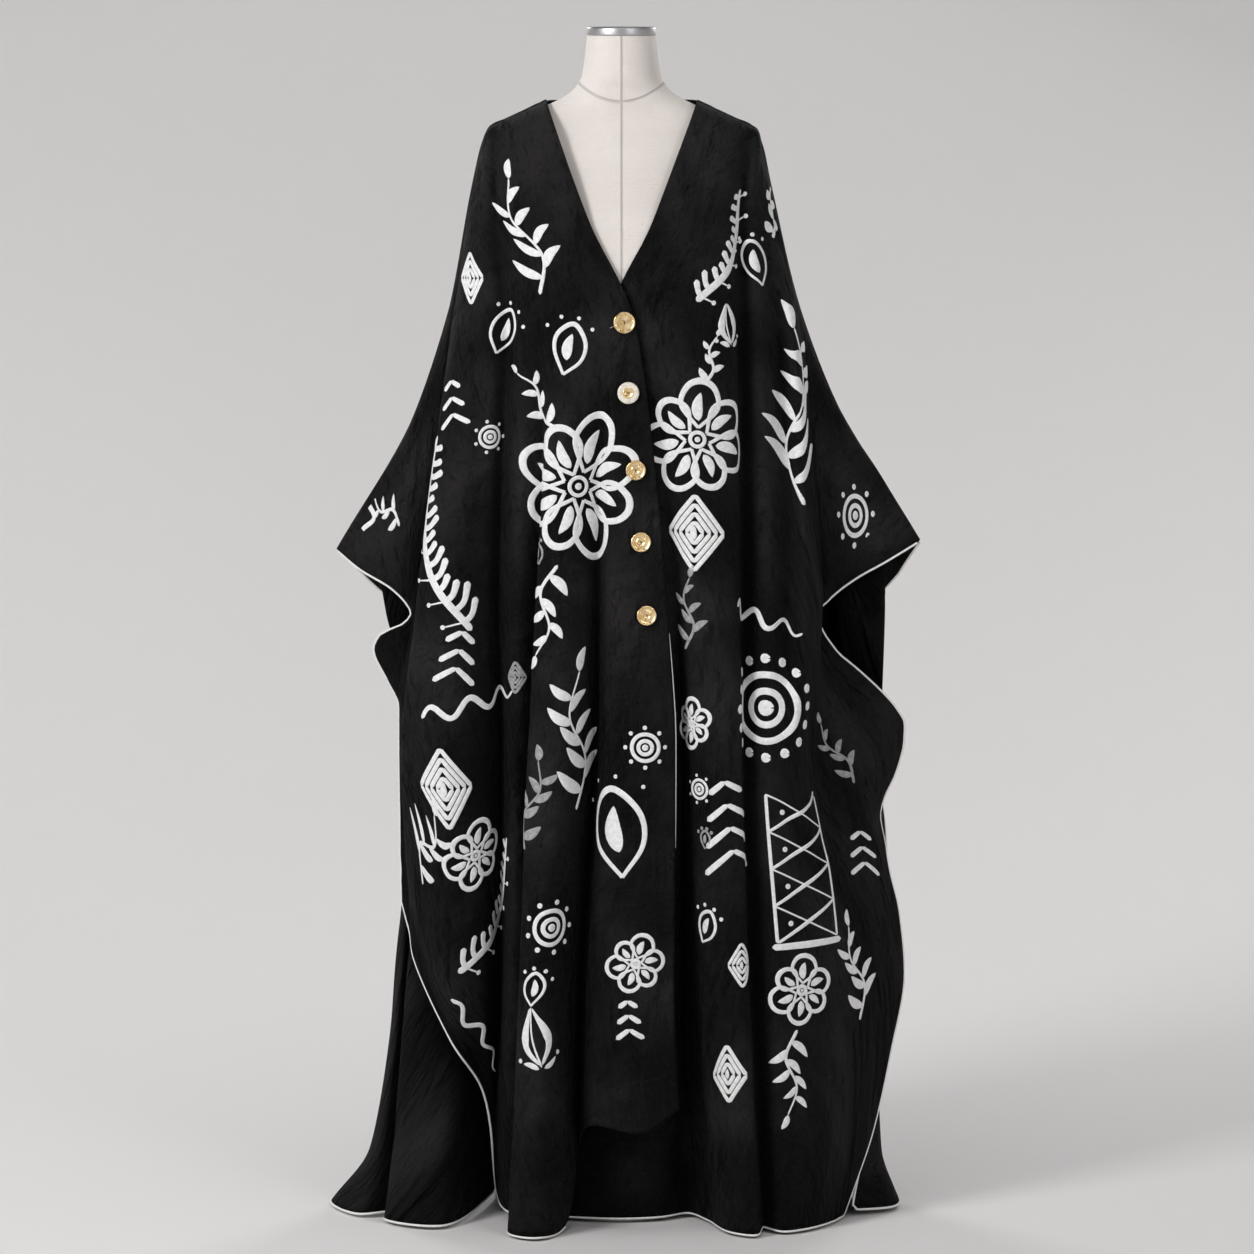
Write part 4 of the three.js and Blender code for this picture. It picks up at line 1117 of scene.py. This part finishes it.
# %% [markdown]
# ## Embroidery
# Thick cotton thread is laid side by side in rows that follow the outline of each shape, and every
# row is caught down, so a motif stands about a millimetre proud with fine grooves between its rows.
# The design is a generic one: leaf sprigs, ferns, petal rosettes, drops, lozenges, scallops, waves,
# chevrons and dotted rings. Some are in silver-grey thread, which is duller than the white.
#
# A motif is drawn flat first, as strokes: a smooth line in millimetres with its half width at every
# point. Then it is laid on the cloth by walking the right distance across and down the panel from
# the place where it starts, so it bends and folds with the cloth as real stitching does.

# %% Strokes on flat cloth
def curve(points, spacing=2.6):
    p = np.asarray(points, float)
    if len(p) > 2:
        p = np.concatenate([2 * p[:1] - p[1:2], p, 2 * p[-1:] - p[-2:-1]])
        s = np.linspace(0, 1, 12, endpoint=False)[:, None]
        parts = []
        for a, b, c, d in zip(p[:-3], p[1:-2], p[2:-1], p[3:]):
            parts.append(0.5 * (2 * b + (c - a) * s + (2 * a - 5 * b + 4 * c - d) * s ** 2
                                + (3 * b - a - 3 * c + d) * s ** 3))
        p = np.concatenate([*parts, p[-2:-1]])
    run = np.concatenate([[0], np.cumsum(np.linalg.norm(np.diff(p, axis=0), axis=1))])
    count = max(4, int(run[-1] / spacing) + 1)
    at = np.linspace(0, run[-1], count)
    return np.stack([np.interp(at, run, p[:, k]) for k in (0, 1)], axis=1)


def stroke(points, start, middle=None, end=None):
    line = curve(points)
    s = np.linspace(0, 1, len(line))
    middle = start if middle is None else middle
    end = start if end is None else end
    return line, np.interp(s, [0, 0.5, 1], [start, middle, end])


def leaf(base, tip, wide):
    base, tip = np.array(base, float), np.array(tip, float)
    way = tip - base
    side = np.array([-way[1], way[0]])
    line = curve([base, base + way * 0.5 + side * 0.09, tip])
    s = np.linspace(0, 1, len(line))
    return line, 0.5 + wide * np.sin(math.pi * s ** 0.8) ** 0.8


def ring(centre, radius, wide, start=0.0, turn=360.0, wobble=0.0, lobes=6):
    angle = np.radians(np.linspace(start, start + turn, max(12, int(radius * turn / 120))))
    r = radius * (1 + wobble * np.cos(lobes * angle))
    line = np.stack([centre[0] + r * np.cos(angle), centre[1] + r * np.sin(angle)], axis=1)
    return line, np.full(len(line), float(wide))


def dot(centre, radius):
    return ring(centre, radius * 0.5, radius * 0.5)


# %% Motifs
def turned_by(strokes, degrees, scale=1.0, mirror=False):
    c, s = math.cos(math.radians(degrees)), math.sin(math.radians(degrees))
    made = []
    for line, wide in strokes:
        x, y = line[:, 0] * (-1 if mirror else 1), line[:, 1]
        made.append((np.stack([x * c - y * s, x * s + y * c], axis=1) * scale, wide * (0.4 + 0.6 * scale)))
    return made


def sprig(length, leaves, wide=5.5):
    """A bowed stem that rises from the origin, with leaves on both sides and one at the tip."""
    bow = length * 0.13
    stem = [(0, 0), (bow, length * 0.33), (-bow * 0.3, length * 0.68), (bow * 0.5, length)]
    line, width = stroke(stem, 2.6, 1.9, 1.2)
    made = [(line, width)]
    for n in range(leaves):
        at = line[int((0.14 + 0.76 * n / leaves) * (len(line) - 1))]
        side = 1 if n % 2 else -1
        reach = length * (0.26 - 0.09 * n / leaves)
        made.append(leaf(at, at + (side * reach * 0.86, reach * 0.72), wide * (1 - 0.3 * n / leaves)))
    made.append(leaf(line[-1], line[-1] + (bow * 0.5, length * 0.17), wide * 0.8))
    return made


def fern(length, leaves, bend=0.35, wide=3.4):
    """A bent rib with short round-ended leaflets on its outer side and fine ones on the inner."""
    rib = [(0, 0), (-length * bend * 0.75, length * 0.3), (-length * bend, length * 0.62),
           (-length * bend * 0.7, length)]
    line, width = stroke(rib, 4.6, 5.4, 2.2)
    made = [(line, width)]
    for n in range(leaves):
        k = int((0.06 + 0.88 * n / (leaves - 1)) * (len(line) - 1))
        k = min(max(k, 1), len(line) - 2)
        way = line[k + 1] - line[k - 1]
        way = way / np.linalg.norm(way)
        out = np.array([way[1], -way[0]])
        reach = length * 0.105 * (1 + 0.25 * math.sin(n * 1.7)) * (1 - 0.4 * n / leaves)
        end = line[k] + out * (reach + 5) + way * reach * 0.55
        middle = line[k] + out * reach * 0.55 + way * 1.5
        made.append(stroke([line[k], middle, end], wide, wide, wide * 1.25))
        if n % 2 == 0:
            inner = line[k] - out * (reach * 0.8 + 4) + way * reach * 0.5
            made.append(stroke([line[k], inner], 1.4, 1.3, 1.0))
            made.append(dot(inner, 3.2))
    return made


def rosette(radius, petals, wide=4.2):
    """Outlined petals round a ringed centre, each with a filled heart."""
    made = [ring((0, 0), radius * 0.13, 2.6), dot((0, 0), radius * 0.055)]
    for n in range(petals):
        a = n * 2 * math.pi / petals + 0.2
        size = radius * (1 + 0.1 * math.sin(n * 2.3))
        out, side = np.array([math.cos(a), math.sin(a)]), np.array([-math.sin(a), math.cos(a)])
        half = size * math.sin(math.pi / petals) * 0.72
        outline = [out * size * 0.2, out * size * 0.55 + side * half,
                   out * size * 0.88 + side * half * 0.75, out * size,
                   out * size * 0.88 - side * half * 0.75, out * size * 0.55 - side * half,
                   out * size * 0.2]
        made.append(stroke(outline, wide * 0.45, wide, wide * 0.45))
        made.append(leaf(out * size * 0.32, out * size * 0.8, half * 0.3))
    return made


def drop(length, wide):
    """A filled drop with an outline round it and a row of dots over its back."""
    half = length * 0.3
    outline = [(0, 0), (half * 0.9, length * 0.28), (half, length * 0.62), (half * 0.2, length * 0.92),
               (-half * 0.7, length * 0.72), (-half * 0.75, length * 0.4), (0, 0)]
    made = [stroke(outline, wide * 0.6, wide, wide * 0.6)]
    made.append(leaf((length * 0.02, length * 0.26), (length * 0.05, length * 0.74), half * 0.32))
    for n in range(4):
        a = math.radians(150 - n * 38)
        made.append(dot((half * 1.62 * math.cos(a), length * 0.6 + half * 1.5 * math.sin(a)), 2.8))
    return made


def lozenges(width, height, rings, wide=2.6):
    """Diamonds one inside the other, with a filled one in the middle."""
    made = []
    for n in range(rings):
        k = 1 - n / (rings + 0.3)
        w, h = width * k / 2, height * k / 2
        corners = [(0, h), (w, 0), (0, -h), (-w, 0), (0, h)]
        for a, b in zip(corners[:-1], corners[1:]):
            made.append(stroke([a, b], wide, wide, wide))
    made.append(leaf((0, -height * 0.09), (0, height * 0.09), width * 0.06))
    return made


def wave(length, height, turns, wide=3.0):
    x = np.linspace(0, length, turns * 8 + 1)
    y = height * np.sin(x / length * turns * 2 * math.pi) * (1 - 0.35 * x / length)
    return [stroke(np.stack([x, y], axis=1), wide, wide * 1.25, wide * 0.5)]


def scallops(length, count, wide=2.8):
    made = []
    step = length / count
    for n in range(count):
        line, width = ring((step * (n + 0.5), 0), step * 0.5, wide, 180, -180)
        made.append((line, width))
        made.append(dot((step * (n + 0.5), step * 0.16), step * 0.11))
    made.append(stroke([(-4, -3.5), (length + 4, -3.5)], 1.5, 1.5, 1.5))
    return made


def dotted_ring(radius, dots, wide=3.0, rings=2):
    made = [ring((0, 0), radius * (0.34 + 0.33 * n), wide) for n in range(rings)]
    made.append(dot((0, 0), radius * 0.17))
    for n in range(dots):
        a = n * 2 * math.pi / dots
        made.append(dot((radius * math.cos(a), radius * math.sin(a)), radius * 0.095 + 0.6))
    return made


def chevrons(width, height, count, wide=3.4):
    made = []
    for n in range(count):
        y, w = height * n / count, width * (1 - 0.16 * n) / 2
        made.append(stroke([(-w, y - w * 0.7), (0, y)], wide, wide, wide * 0.8))
        made.append(stroke([(0, y), (w, y - w * 0.7)], wide * 0.8, wide, wide))
    return made


def leaf_pair(length, wide):
    """A broad leaf split by its rib, with a small bud on each side of its foot."""
    rib = [(0, 0), (length * 0.06, length * 0.5), (0, length)]
    made = [stroke(rib, 1.5, 1.3, 1.0)]
    for side in (-1, 1):
        half = [(side * 1.5, length * 0.04), (side * length * 0.2, length * 0.42),
                (side * 1.5, length * 0.98)]
        made.append(stroke(half, 1.4, wide, 1.2))
        made.append(leaf((side * 3, -2), (side * length * 0.3, length * 0.1), wide * 0.55))
        made.append(dot((side * length * 0.37, length * 0.15), 3.2))
    return made


def lattice(width, height, rows, wide=1.9):
    """A tall panel of crossing lines with a dot in every other diamond, and a filled band below."""
    made = [stroke([(0, 0), (0, height)], wide * 1.2), stroke([(width, 0), (width, height * 0.97)], wide)]
    step = height / rows
    for n in range(rows):
        up, down = n * step, (n + 1) * step
        made.append(stroke([(0, up), (width, down)], wide, wide * 1.5, wide))
        made.append(stroke([(width, up), (0, down)], wide * 0.7))
        made.append(dot((width * 0.22, (up + down) / 2), 3.6))
    made.append(stroke([(-6, -5), (width + 6, -5)], 4.2, 4.8, 4.2))
    return made

# %% [markdown]
# ## Laying a motif on a panel
# The place of a motif is given by how far sideways and how high it starts, seen from the front, and
# the outermost fold there takes it. From that point each stitch is found by its distance along the
# cloth, and a stitch that would fall off the edge is left out.

# %% From flat to cloth
def sample(field, i, j):
    i0 = np.clip(i.astype(int), 0, field.shape[0] - 2)
    j0 = np.clip(j.astype(int), 0, field.shape[1] - 2)
    a, b = i - i0, j - j0
    if field.ndim == 3:
        a, b = a[:, None], b[:, None]
    low = field[i0, j0] * (1 - a) + field[i0 + 1, j0] * a
    high = field[i0, j0 + 1] * (1 - a) + field[i0 + 1, j0 + 1] * a
    return low * (1 - b) + high * b


def start_point(panel, x, z, fold):
    p = panel.outer
    near = (p[..., 0] - x) ** 2 + (p[..., 2] - z) ** 2
    score = near / 12 - panel.facing * p[..., 1]
    if fold is not None:
        lines = np.arange(len(p))[:, None] / STEPS
        score = score + np.where(np.abs(lines - fold) < 1.1, 0, 1e4)
    return np.unravel_index(np.argmin(score), score.shape)


def on_cloth(panel, i0, j0, dx, dy):
    """Grid places at dx across and dy up the cloth from a grid point, all in millimetres."""
    toward = 1 if panel is left else -1
    rows, cols = panel.side.shape
    i = np.full(len(dx), float(i0))
    j = np.full(len(dx), float(j0))
    fixed_i, fixed_j = np.full(len(dx), float(i0)), np.full(len(dx), float(j0))
    for _ in range(14):
        side_now = sample(panel.side, i, j) - sample(panel.side, fixed_i, j)
        down_now = sample(panel.down, i, j) - sample(panel.down, i, fixed_j)
        up, low = np.clip(i + 1, 0, rows - 1), np.clip(i - 1, 0, rows - 1)
        wide = (sample(panel.side, up, j) - sample(panel.side, low, j)) / np.maximum(up - low, 0.5)
        right_j, left_j = np.clip(j + 1, 0, cols - 1), np.clip(j - 1, 0, cols - 1)
        tall = sample(panel.down, i, right_j) - sample(panel.down, i, left_j)
        tall = tall / np.maximum(right_j - left_j, 0.5)
        i = np.clip(i + 0.8 * (toward * dx - side_now) / np.maximum(wide, 0.4), -1, rows)
        j = np.clip(j + 0.8 * (-dy - down_now) / np.maximum(tall, 0.8), -1, cols)
    margin = 2.2
    kept = (i > margin) & (i < rows - 1 - margin) & (j > 5) & (j < cols - 1 - margin)
    return i, j, kept


# %% From strokes to stitches
class Stitching:
    def __init__(self, name, material):
        self.name, self.material = name, material
        self.points, self.quads, self.uv, self.count = [], [], [], 0

    def lay(self, panel, place, line, width, inside=False):
        closed = np.linalg.norm(line[0] - line[-1]) < 0.01
        run = np.concatenate([[0], np.cumsum(np.linalg.norm(np.diff(line, axis=0), axis=1))])
        along = np.gradient(line, axis=0)
        along /= np.maximum(np.linalg.norm(along, axis=1, keepdims=True), 1e-9)
        side = np.stack([-along[:, 1], along[:, 0]], axis=1)
        if not closed:
            end = np.minimum(run, run[-1] - run)
            short = np.clip(1 - end / np.maximum(width, 0.1), 0, 1)
            width = width * np.sqrt(np.maximum(0.06, 1 - short ** 2))
        threads_across = int(min(7, max(1, round(width.max() / 1.15))))
        a = np.linspace(-1, 1, 2 * threads_across + 1)
        flat = line[:, None, :] + side[:, None, :] * (a[None, :, None] * width[:, None, None])
        rise = 0.95 * (1 - a ** 6)
        rise[2:-1:2] -= 0.38
        rise = np.where(np.abs(a) > 0.99, -0.25, rise) + 0.12
        height = rise[None, :] * np.clip(width[:, None] / 1.4, 0.6, 1.0)
        height = height + 0.08 * np.sin(run[:, None] * 0.9 + a[None, :] * 5)
        i, j, kept = on_cloth(panel, *place, flat[..., 0].ravel(), flat[..., 1].ravel())
        surface = panel.inner if inside else panel.outer
        i, j = np.clip(i, 0, surface.shape[0] - 1), np.clip(j, 0, surface.shape[1] - 1)
        away = sample(panel.away, i, j) * (-1 if inside else 1)
        points = sample(surface, i, j) + away * height.ravel()[:, None]
        shape = flat.shape[:2]
        whole = kept.reshape(shape).all(axis=1)
        ok = whole[:-1] & whole[1:]
        quads = grid_quads(shape[0], shape[1], 0, (panel is left) == inside)
        quads = quads[np.repeat(ok, shape[1] - 1)]
        if len(quads):
            self.points.append(points)
            self.quads.append(quads + self.count)
            across = (a[None, :] * width[:, None]).ravel()
            self.uv.append(np.stack([np.repeat(run, shape[1]), across], axis=1))
            self.count += len(points)

    def finish(self):
        points, quads = np.concatenate(self.points), np.concatenate(self.quads)
        used = np.unique(quads)
        index = np.full(len(points), -1)
        index[used] = np.arange(len(used))
        return make(self.name, points[used], index[quads], np.concatenate(self.uv)[used],
                    self.material, "white_piping")


# %% [markdown]
# The layouts below say which motif goes where: its place from the front and its turn in degrees, and
# then its size, whether it is mirrored, and its thread, where these differ from the usual ones. Small
# motifs fill in between the large ones, with bare cloth left above the hems.

# %% Layouts
USUAL = (1.18, False, "white")
ON_RIGHT = [
    (drop(72, 3.4), -84, 1238, -8, 1.1, False, "white"),
    (sprig(120, 7, 6), -290, 505, -14, 1.18, True, "white"),
    (rosette(42, 6, 3.8), -206, 536, 6, 1.1, False, "white"),
    (chevrons(52, 66, 3, 4), -232, 816, -8),
    (leaf_pair(74, 6), -110, 250, 12, 1.18, True, "white"),
    (dotted_ring(24, 8, 2.6), 34, 706, 0),
    (wave(110, 9, 3, 3), -370, 985, 36),
    (sprig(142, 8, 6), -116, 1346, 10),
    (drop(62, 2.6), -176, 1262, -28, 1.18, True, "white"),
    (dotted_ring(19, 7, 2.2), -184, 1146, 0),
    (rosette(84, 8, 5), -58, 1082, 12),
    (sprig(112, 6, 6), -92, 968, 172),
    (sprig(86, 5, 5), -96, 1168, 38, 1.18, True, "white"),
    (fern(238, 15, 0.28, 4), -208, 868, 4),
    (lozenges(40, 62, 3), -222, 1370, 8),
    (chevrons(44, 62, 3), -246, 1178, 14),
    (sprig(70, 5, 4), -322, 1008, 34),
    (sprig(168, 9, 8), -58, 616, 6),
    (sprig(130, 7, 7), -150, 560, -12, 1.0, True, "silver"),
    (wave(150, 11, 3, 3.4), -286, 744, 12),
    (lozenges(66, 98, 4, 3), -256, 640, 6),
    (drop(118, 4.4), -2, 520, 14),
    (dotted_ring(31, 9, 3), -94, 452, 0),
    (rosette(34, 6, 3), 18, 398, 0),
    (chevrons(34, 52, 3), 10, 300, 4),
    (fern(176, 12, 0.3, 3.6), -232, 372, -24, 1.18, True, "white"),
    (wave(128, 9, 3), -246, 330, -38),
    (drop(44, 2.4), -132, 336, -10, 1.18, True, "white"),
    (drop(36, 2.2), -128, 968, 24, 1.0, False, "silver"),
    (lozenges(30, 46, 3, 2), -154, 800, 0, 1.0, False, "silver"),
]
ON_LEFT = [
    (leaf_pair(60, 6), 164, 1276, 6, 1.0, True, "white"),
    (rosette(34, 6, 3.4), 92, 742, 14, 1.0, False, "white"),
    (sprig(128, 8, 6.4), 352, 300, 10, 1.1, False, "white"),
    (chevrons(50, 70, 3, 3.6), 352, 520, -6, 1.0, False, "white"),
    (lozenges(46, 70, 3, 2.8), 150, 236, 0),
    (fern(142, 11, 0.3, 3.6), 108, 1336, -12, 1.18, True, "white"),
    (sprig(84, 6, 6), 222, 1424, -4, 1.1, False, "white"),
    (drop(60, 2.6), 210, 1360, 12),
    (rosette(66, 7, 4.6), 108, 1150, 20),
    (lozenges(70, 92, 4, 3), 104, 1010, -4),
    (sprig(60, 5, 4), 118, 1216, -14),
    (sprig(214, 11, 8), 262, 1052, -4, 1.18, True, "white"),
    (dotted_ring(30, 8, 2.8), 336, 1024, 0),
    (wave(128, 10, 3, 3.2), 176, 908, -16),
    (dotted_ring(60, 16, 4.6, 2), 202, 764, 0),
    (chevrons(78, 112, 4, 4), 158, 560, 6),
    (lattice(84, 182, 4), 226, 430, 2),
    (rosette(40, 6, 3.4), 262, 352, 10),
    (sprig(104, 7, 5), 256, 296, 176),
    (dotted_ring(17, 7, 2), 104, 646, 0),
    (drop(46, 2.6), 110, 420, -18),
    (lozenges(32, 54, 3, 2), 172, 392, 0),
    (drop(28, 2), 112, 556, 0, 1.0, False, "silver"),
    (sprig(104, 6, 5), 84, 842, -3, 1.0, False, "silver"),
    (sprig(96, 6, 5), 338, 640, 24, 1.0, False, "silver"),
]
IN_BACK = [
    (sprig(168, 9, 8), 356, 604, -2, 1.0, False, "silver"),
    (scallops(84, 3), 340, 560, 70, 1.0, False, "silver"),
]
ON_BACK = [
    (rosette(94, 9, 5.4), -4, 1190, 8),
    (fern(160, 11, 0.3, 3.8), -96, 1350, 14, 1.18, True, "white"),
    (fern(154, 11, 0.3, 3.8), 92, 1346, -14),
    (sprig(120, 7, 6), 6, 1000, 176),
    (drop(74, 3), -172, 1200, 20),
    (drop(70, 3), 176, 1196, -24, 1.18, True, "white"),
    (lozenges(64, 92, 4, 3), -152, 1010, 0),
    (dotted_ring(46, 11, 3.4, 2), 154, 980, 0),
    (sprig(176, 9, 7), -246, 980, 6),
    (sprig(190, 10, 7), 286, 960, -8, 1.18, True, "white"),
    (scallops(150, 5, 3.2), -64, 800, 4),
    (fern(188, 13, 0.3, 4), 58, 590, -4),
    (sprig(200, 10, 8), -68, 560, 8, 1.18, True, "white"),
    (chevrons(84, 116, 4, 4), -166, 690, 0),
    (rosette(56, 7, 4), 196, 716, 0),
    (wave(120, 10, 3, 3.2), 226, 520, 24),
    (lattice(80, 170, 4), -186, 400, 0),
    (dotted_ring(38, 10, 3), 4, 440, 0),
    (drop(88, 3.4), 176, 380, -12),
    (lozenges(40, 66, 3), 66, 330, 0),
    (sprig(120, 7, 6), 300, 420, -14, 1.0, False, "silver"),
    (fern(150, 10, 0.3, 3.4), -286, 640, -4, 1.0, False, "silver"),
    (dotted_ring(26, 8, 2.6), 262, 826, 0, 1.0, False, "silver"),
    (drop(60, 2.8), -250, 460, 16, 1.0, True, "silver"),
    (wave(120, 9, 3), -60, 330, 12),
]

# %% Stitch them
stitched = {}
for panel, layouts in ((right, [(ON_RIGHT, False)]), (left, [(ON_LEFT, False)]),
                       (back, [(ON_BACK, False), (IN_BACK, True)])):
    work = {"white": Stitching(panel.name + "_white_stitches", WHITE_THREAD),
            "silver": Stitching(panel.name + "_silver_stitches", SILVER_THREAD)}
    for layout, inside in layouts:
        for motif, x, z, degrees, *said in layout:
            scale, mirror, colour = said or USUAL
            place = start_point(panel, x, z, None)
            for line, width in turned_by(motif, degrees, scale, mirror):
                work[colour].lay(panel, place, line, width, inside)
    stitched[panel.name] = [one.finish() for one in work.values()]
    for one in stitched[panel.name]:
        print(one.name, 2 * len(one.data.polygons), "triangles")

# %% [markdown]
# ## The cut
# The cut of each panel is a rectangle from the roll with parts cut away, such as the neckline and
# the slanted sides.

# %% [markdown]
# ## Studio
# The photograph was made in a pale studio with a floor that curves up into the wall. Here the same
# curve runs all the way round, so that the part can be looked at from any side. The paper shows its
# inner face only, and from outside it is clear, so it never stands in the way of the camera. Soft
# square lights stand inside it: the main one at the upper left in front, a weaker one at the right,
# a wide one over the head, and two for the back.

# %% Backdrop
def backdrop():
    f = Finish("studio_paper")
    here = f.node("TexCoord").outputs["Object"]
    grain = f.noise(here, 160.0, 3.0)
    soft = f.noise(here, 0.8, 2.0)
    colour = f.mix(soft, (0.715, 0.702, 0.698, 1), (0.735, 0.722, 0.718, 1))
    f.set(Base_Color=colour, Roughness=0.9, Specular_IOR_Level=0.1, Normal=f.bump(grain, 0.0004, 0.2))
    outside = f.node("NewGeometry").outputs["Backfacing"]
    clear = f.node("BsdfTransparent").outputs[0]
    both = f.node("MixShader", {0: outside, 1: f.shader.outputs[0], 2: clear}).outputs[0]
    f.tree.links.new(both, f.tree.nodes["Material Output"].inputs["Surface"])
    reach, bend, top, sides = 3700.0, 1500.0, 2900.0, 96
    profile = [(60.0, 0.0), (400.0, 0.0), (1200.0, 0.0), (reach - bend, 0.0)]
    for k in range(1, 25):
        a = k / 24 * math.pi / 2
        profile.append((reach - bend + bend * math.sin(a), bend - bend * math.cos(a)))
    profile.append((reach, top))
    angle = np.arange(sides) * 2 * math.pi / sides
    rings = [np.stack([r * np.cos(angle), r * np.sin(angle), np.full(sides, z)], axis=1) for r, z in profile]
    points = np.concatenate([*rings, [[0.0, 0.0, 0.0]]])
    faces = [list(q)[::-1] for q in ring_quads(len(profile), sides)]
    faces += [[k, (k + 1) % sides, len(points) - 1] for k in range(sides)]
    obj = smooth_mesh("studio_sweep", points, faces, [f.mat])
    obj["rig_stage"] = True
    return obj


paper = backdrop()
print("paper faces up:", paper.data.polygons[0].normal.z > 0, paper.data.polygons[-1].normal.z > 0)


# %% Lights
def area_light(name, place, aim, size, power, colour=(1, 1, 1)):
    data = bpy.data.lights.new(name, "AREA")
    data.shape = "RECTANGLE"
    data.size, data.size_y = size
    data.energy = power
    data.color = colour
    obj = bpy.data.objects.new(name, data)
    obj.location = place
    obj.rotation_euler = (Vector(aim) - Vector(place)).to_track_quat("-Z", "Y").to_euler()
    obj.visible_camera = False
    bpy.context.scene.collection.objects.link(obj)


area_light("key", (-2.3, -2.3, 2.6), (0, 0, 1.0), (0.9, 0.9), 74)
area_light("fill", (1.7, -2.8, 2.4), (0, 0, 0.9), (1.0, 1.0), 15)
area_light("over", (0.2, -1.2, 4.8), (0, -0.1, 0.6), (3.0, 1.8), 35)
area_light("back_left", (-1.7, 2.7, 2.7), (0, 0, 0.95), (1.0, 1.0), 36)
area_light("back_right", (1.7, 2.7, 2.5), (0, 0, 0.95), (1.0, 1.0), 32)

world = bpy.data.worlds.new("studio_air")
world.use_nodes = True
world.node_tree.nodes["Background"].inputs[0].default_value = (0.92, 0.93, 0.95, 1)
world.node_tree.nodes["Background"].inputs[1].default_value = 0.07
bpy.context.scene.world = world
bpy.context.scene.view_settings.view_transform = "Standard"

# %% Camera
HALF_FRAME = 627         # half the frame's width, in pixels
LENS = 5559              # distance of the frame from the lens, in pixels
CAMERA_PLACE = (0.008, -8.0, 1.85)
CAMERA_DIP = 7.07        # degrees below level
camera = bpy.data.cameras.new("camera")
camera.sensor_fit = "HORIZONTAL"
camera.angle = 2 * math.atan(HALF_FRAME / LENS)
camera.clip_end = 60
viewer = bpy.data.objects.new("camera", camera)
viewer.location = CAMERA_PLACE
viewer.rotation_euler = (math.radians(90 - CAMERA_DIP), 0, 0)
bpy.context.scene.collection.objects.link(viewer)
bpy.context.scene.camera = viewer

# %% Sizes, and the end
plain = lambda box: [[float(v) for v in corner] for corner in box]
{"cad": plain(cad_bounds), "visual": plain(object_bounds())}
print("size", plain(cad_bounds), plain(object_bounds()))
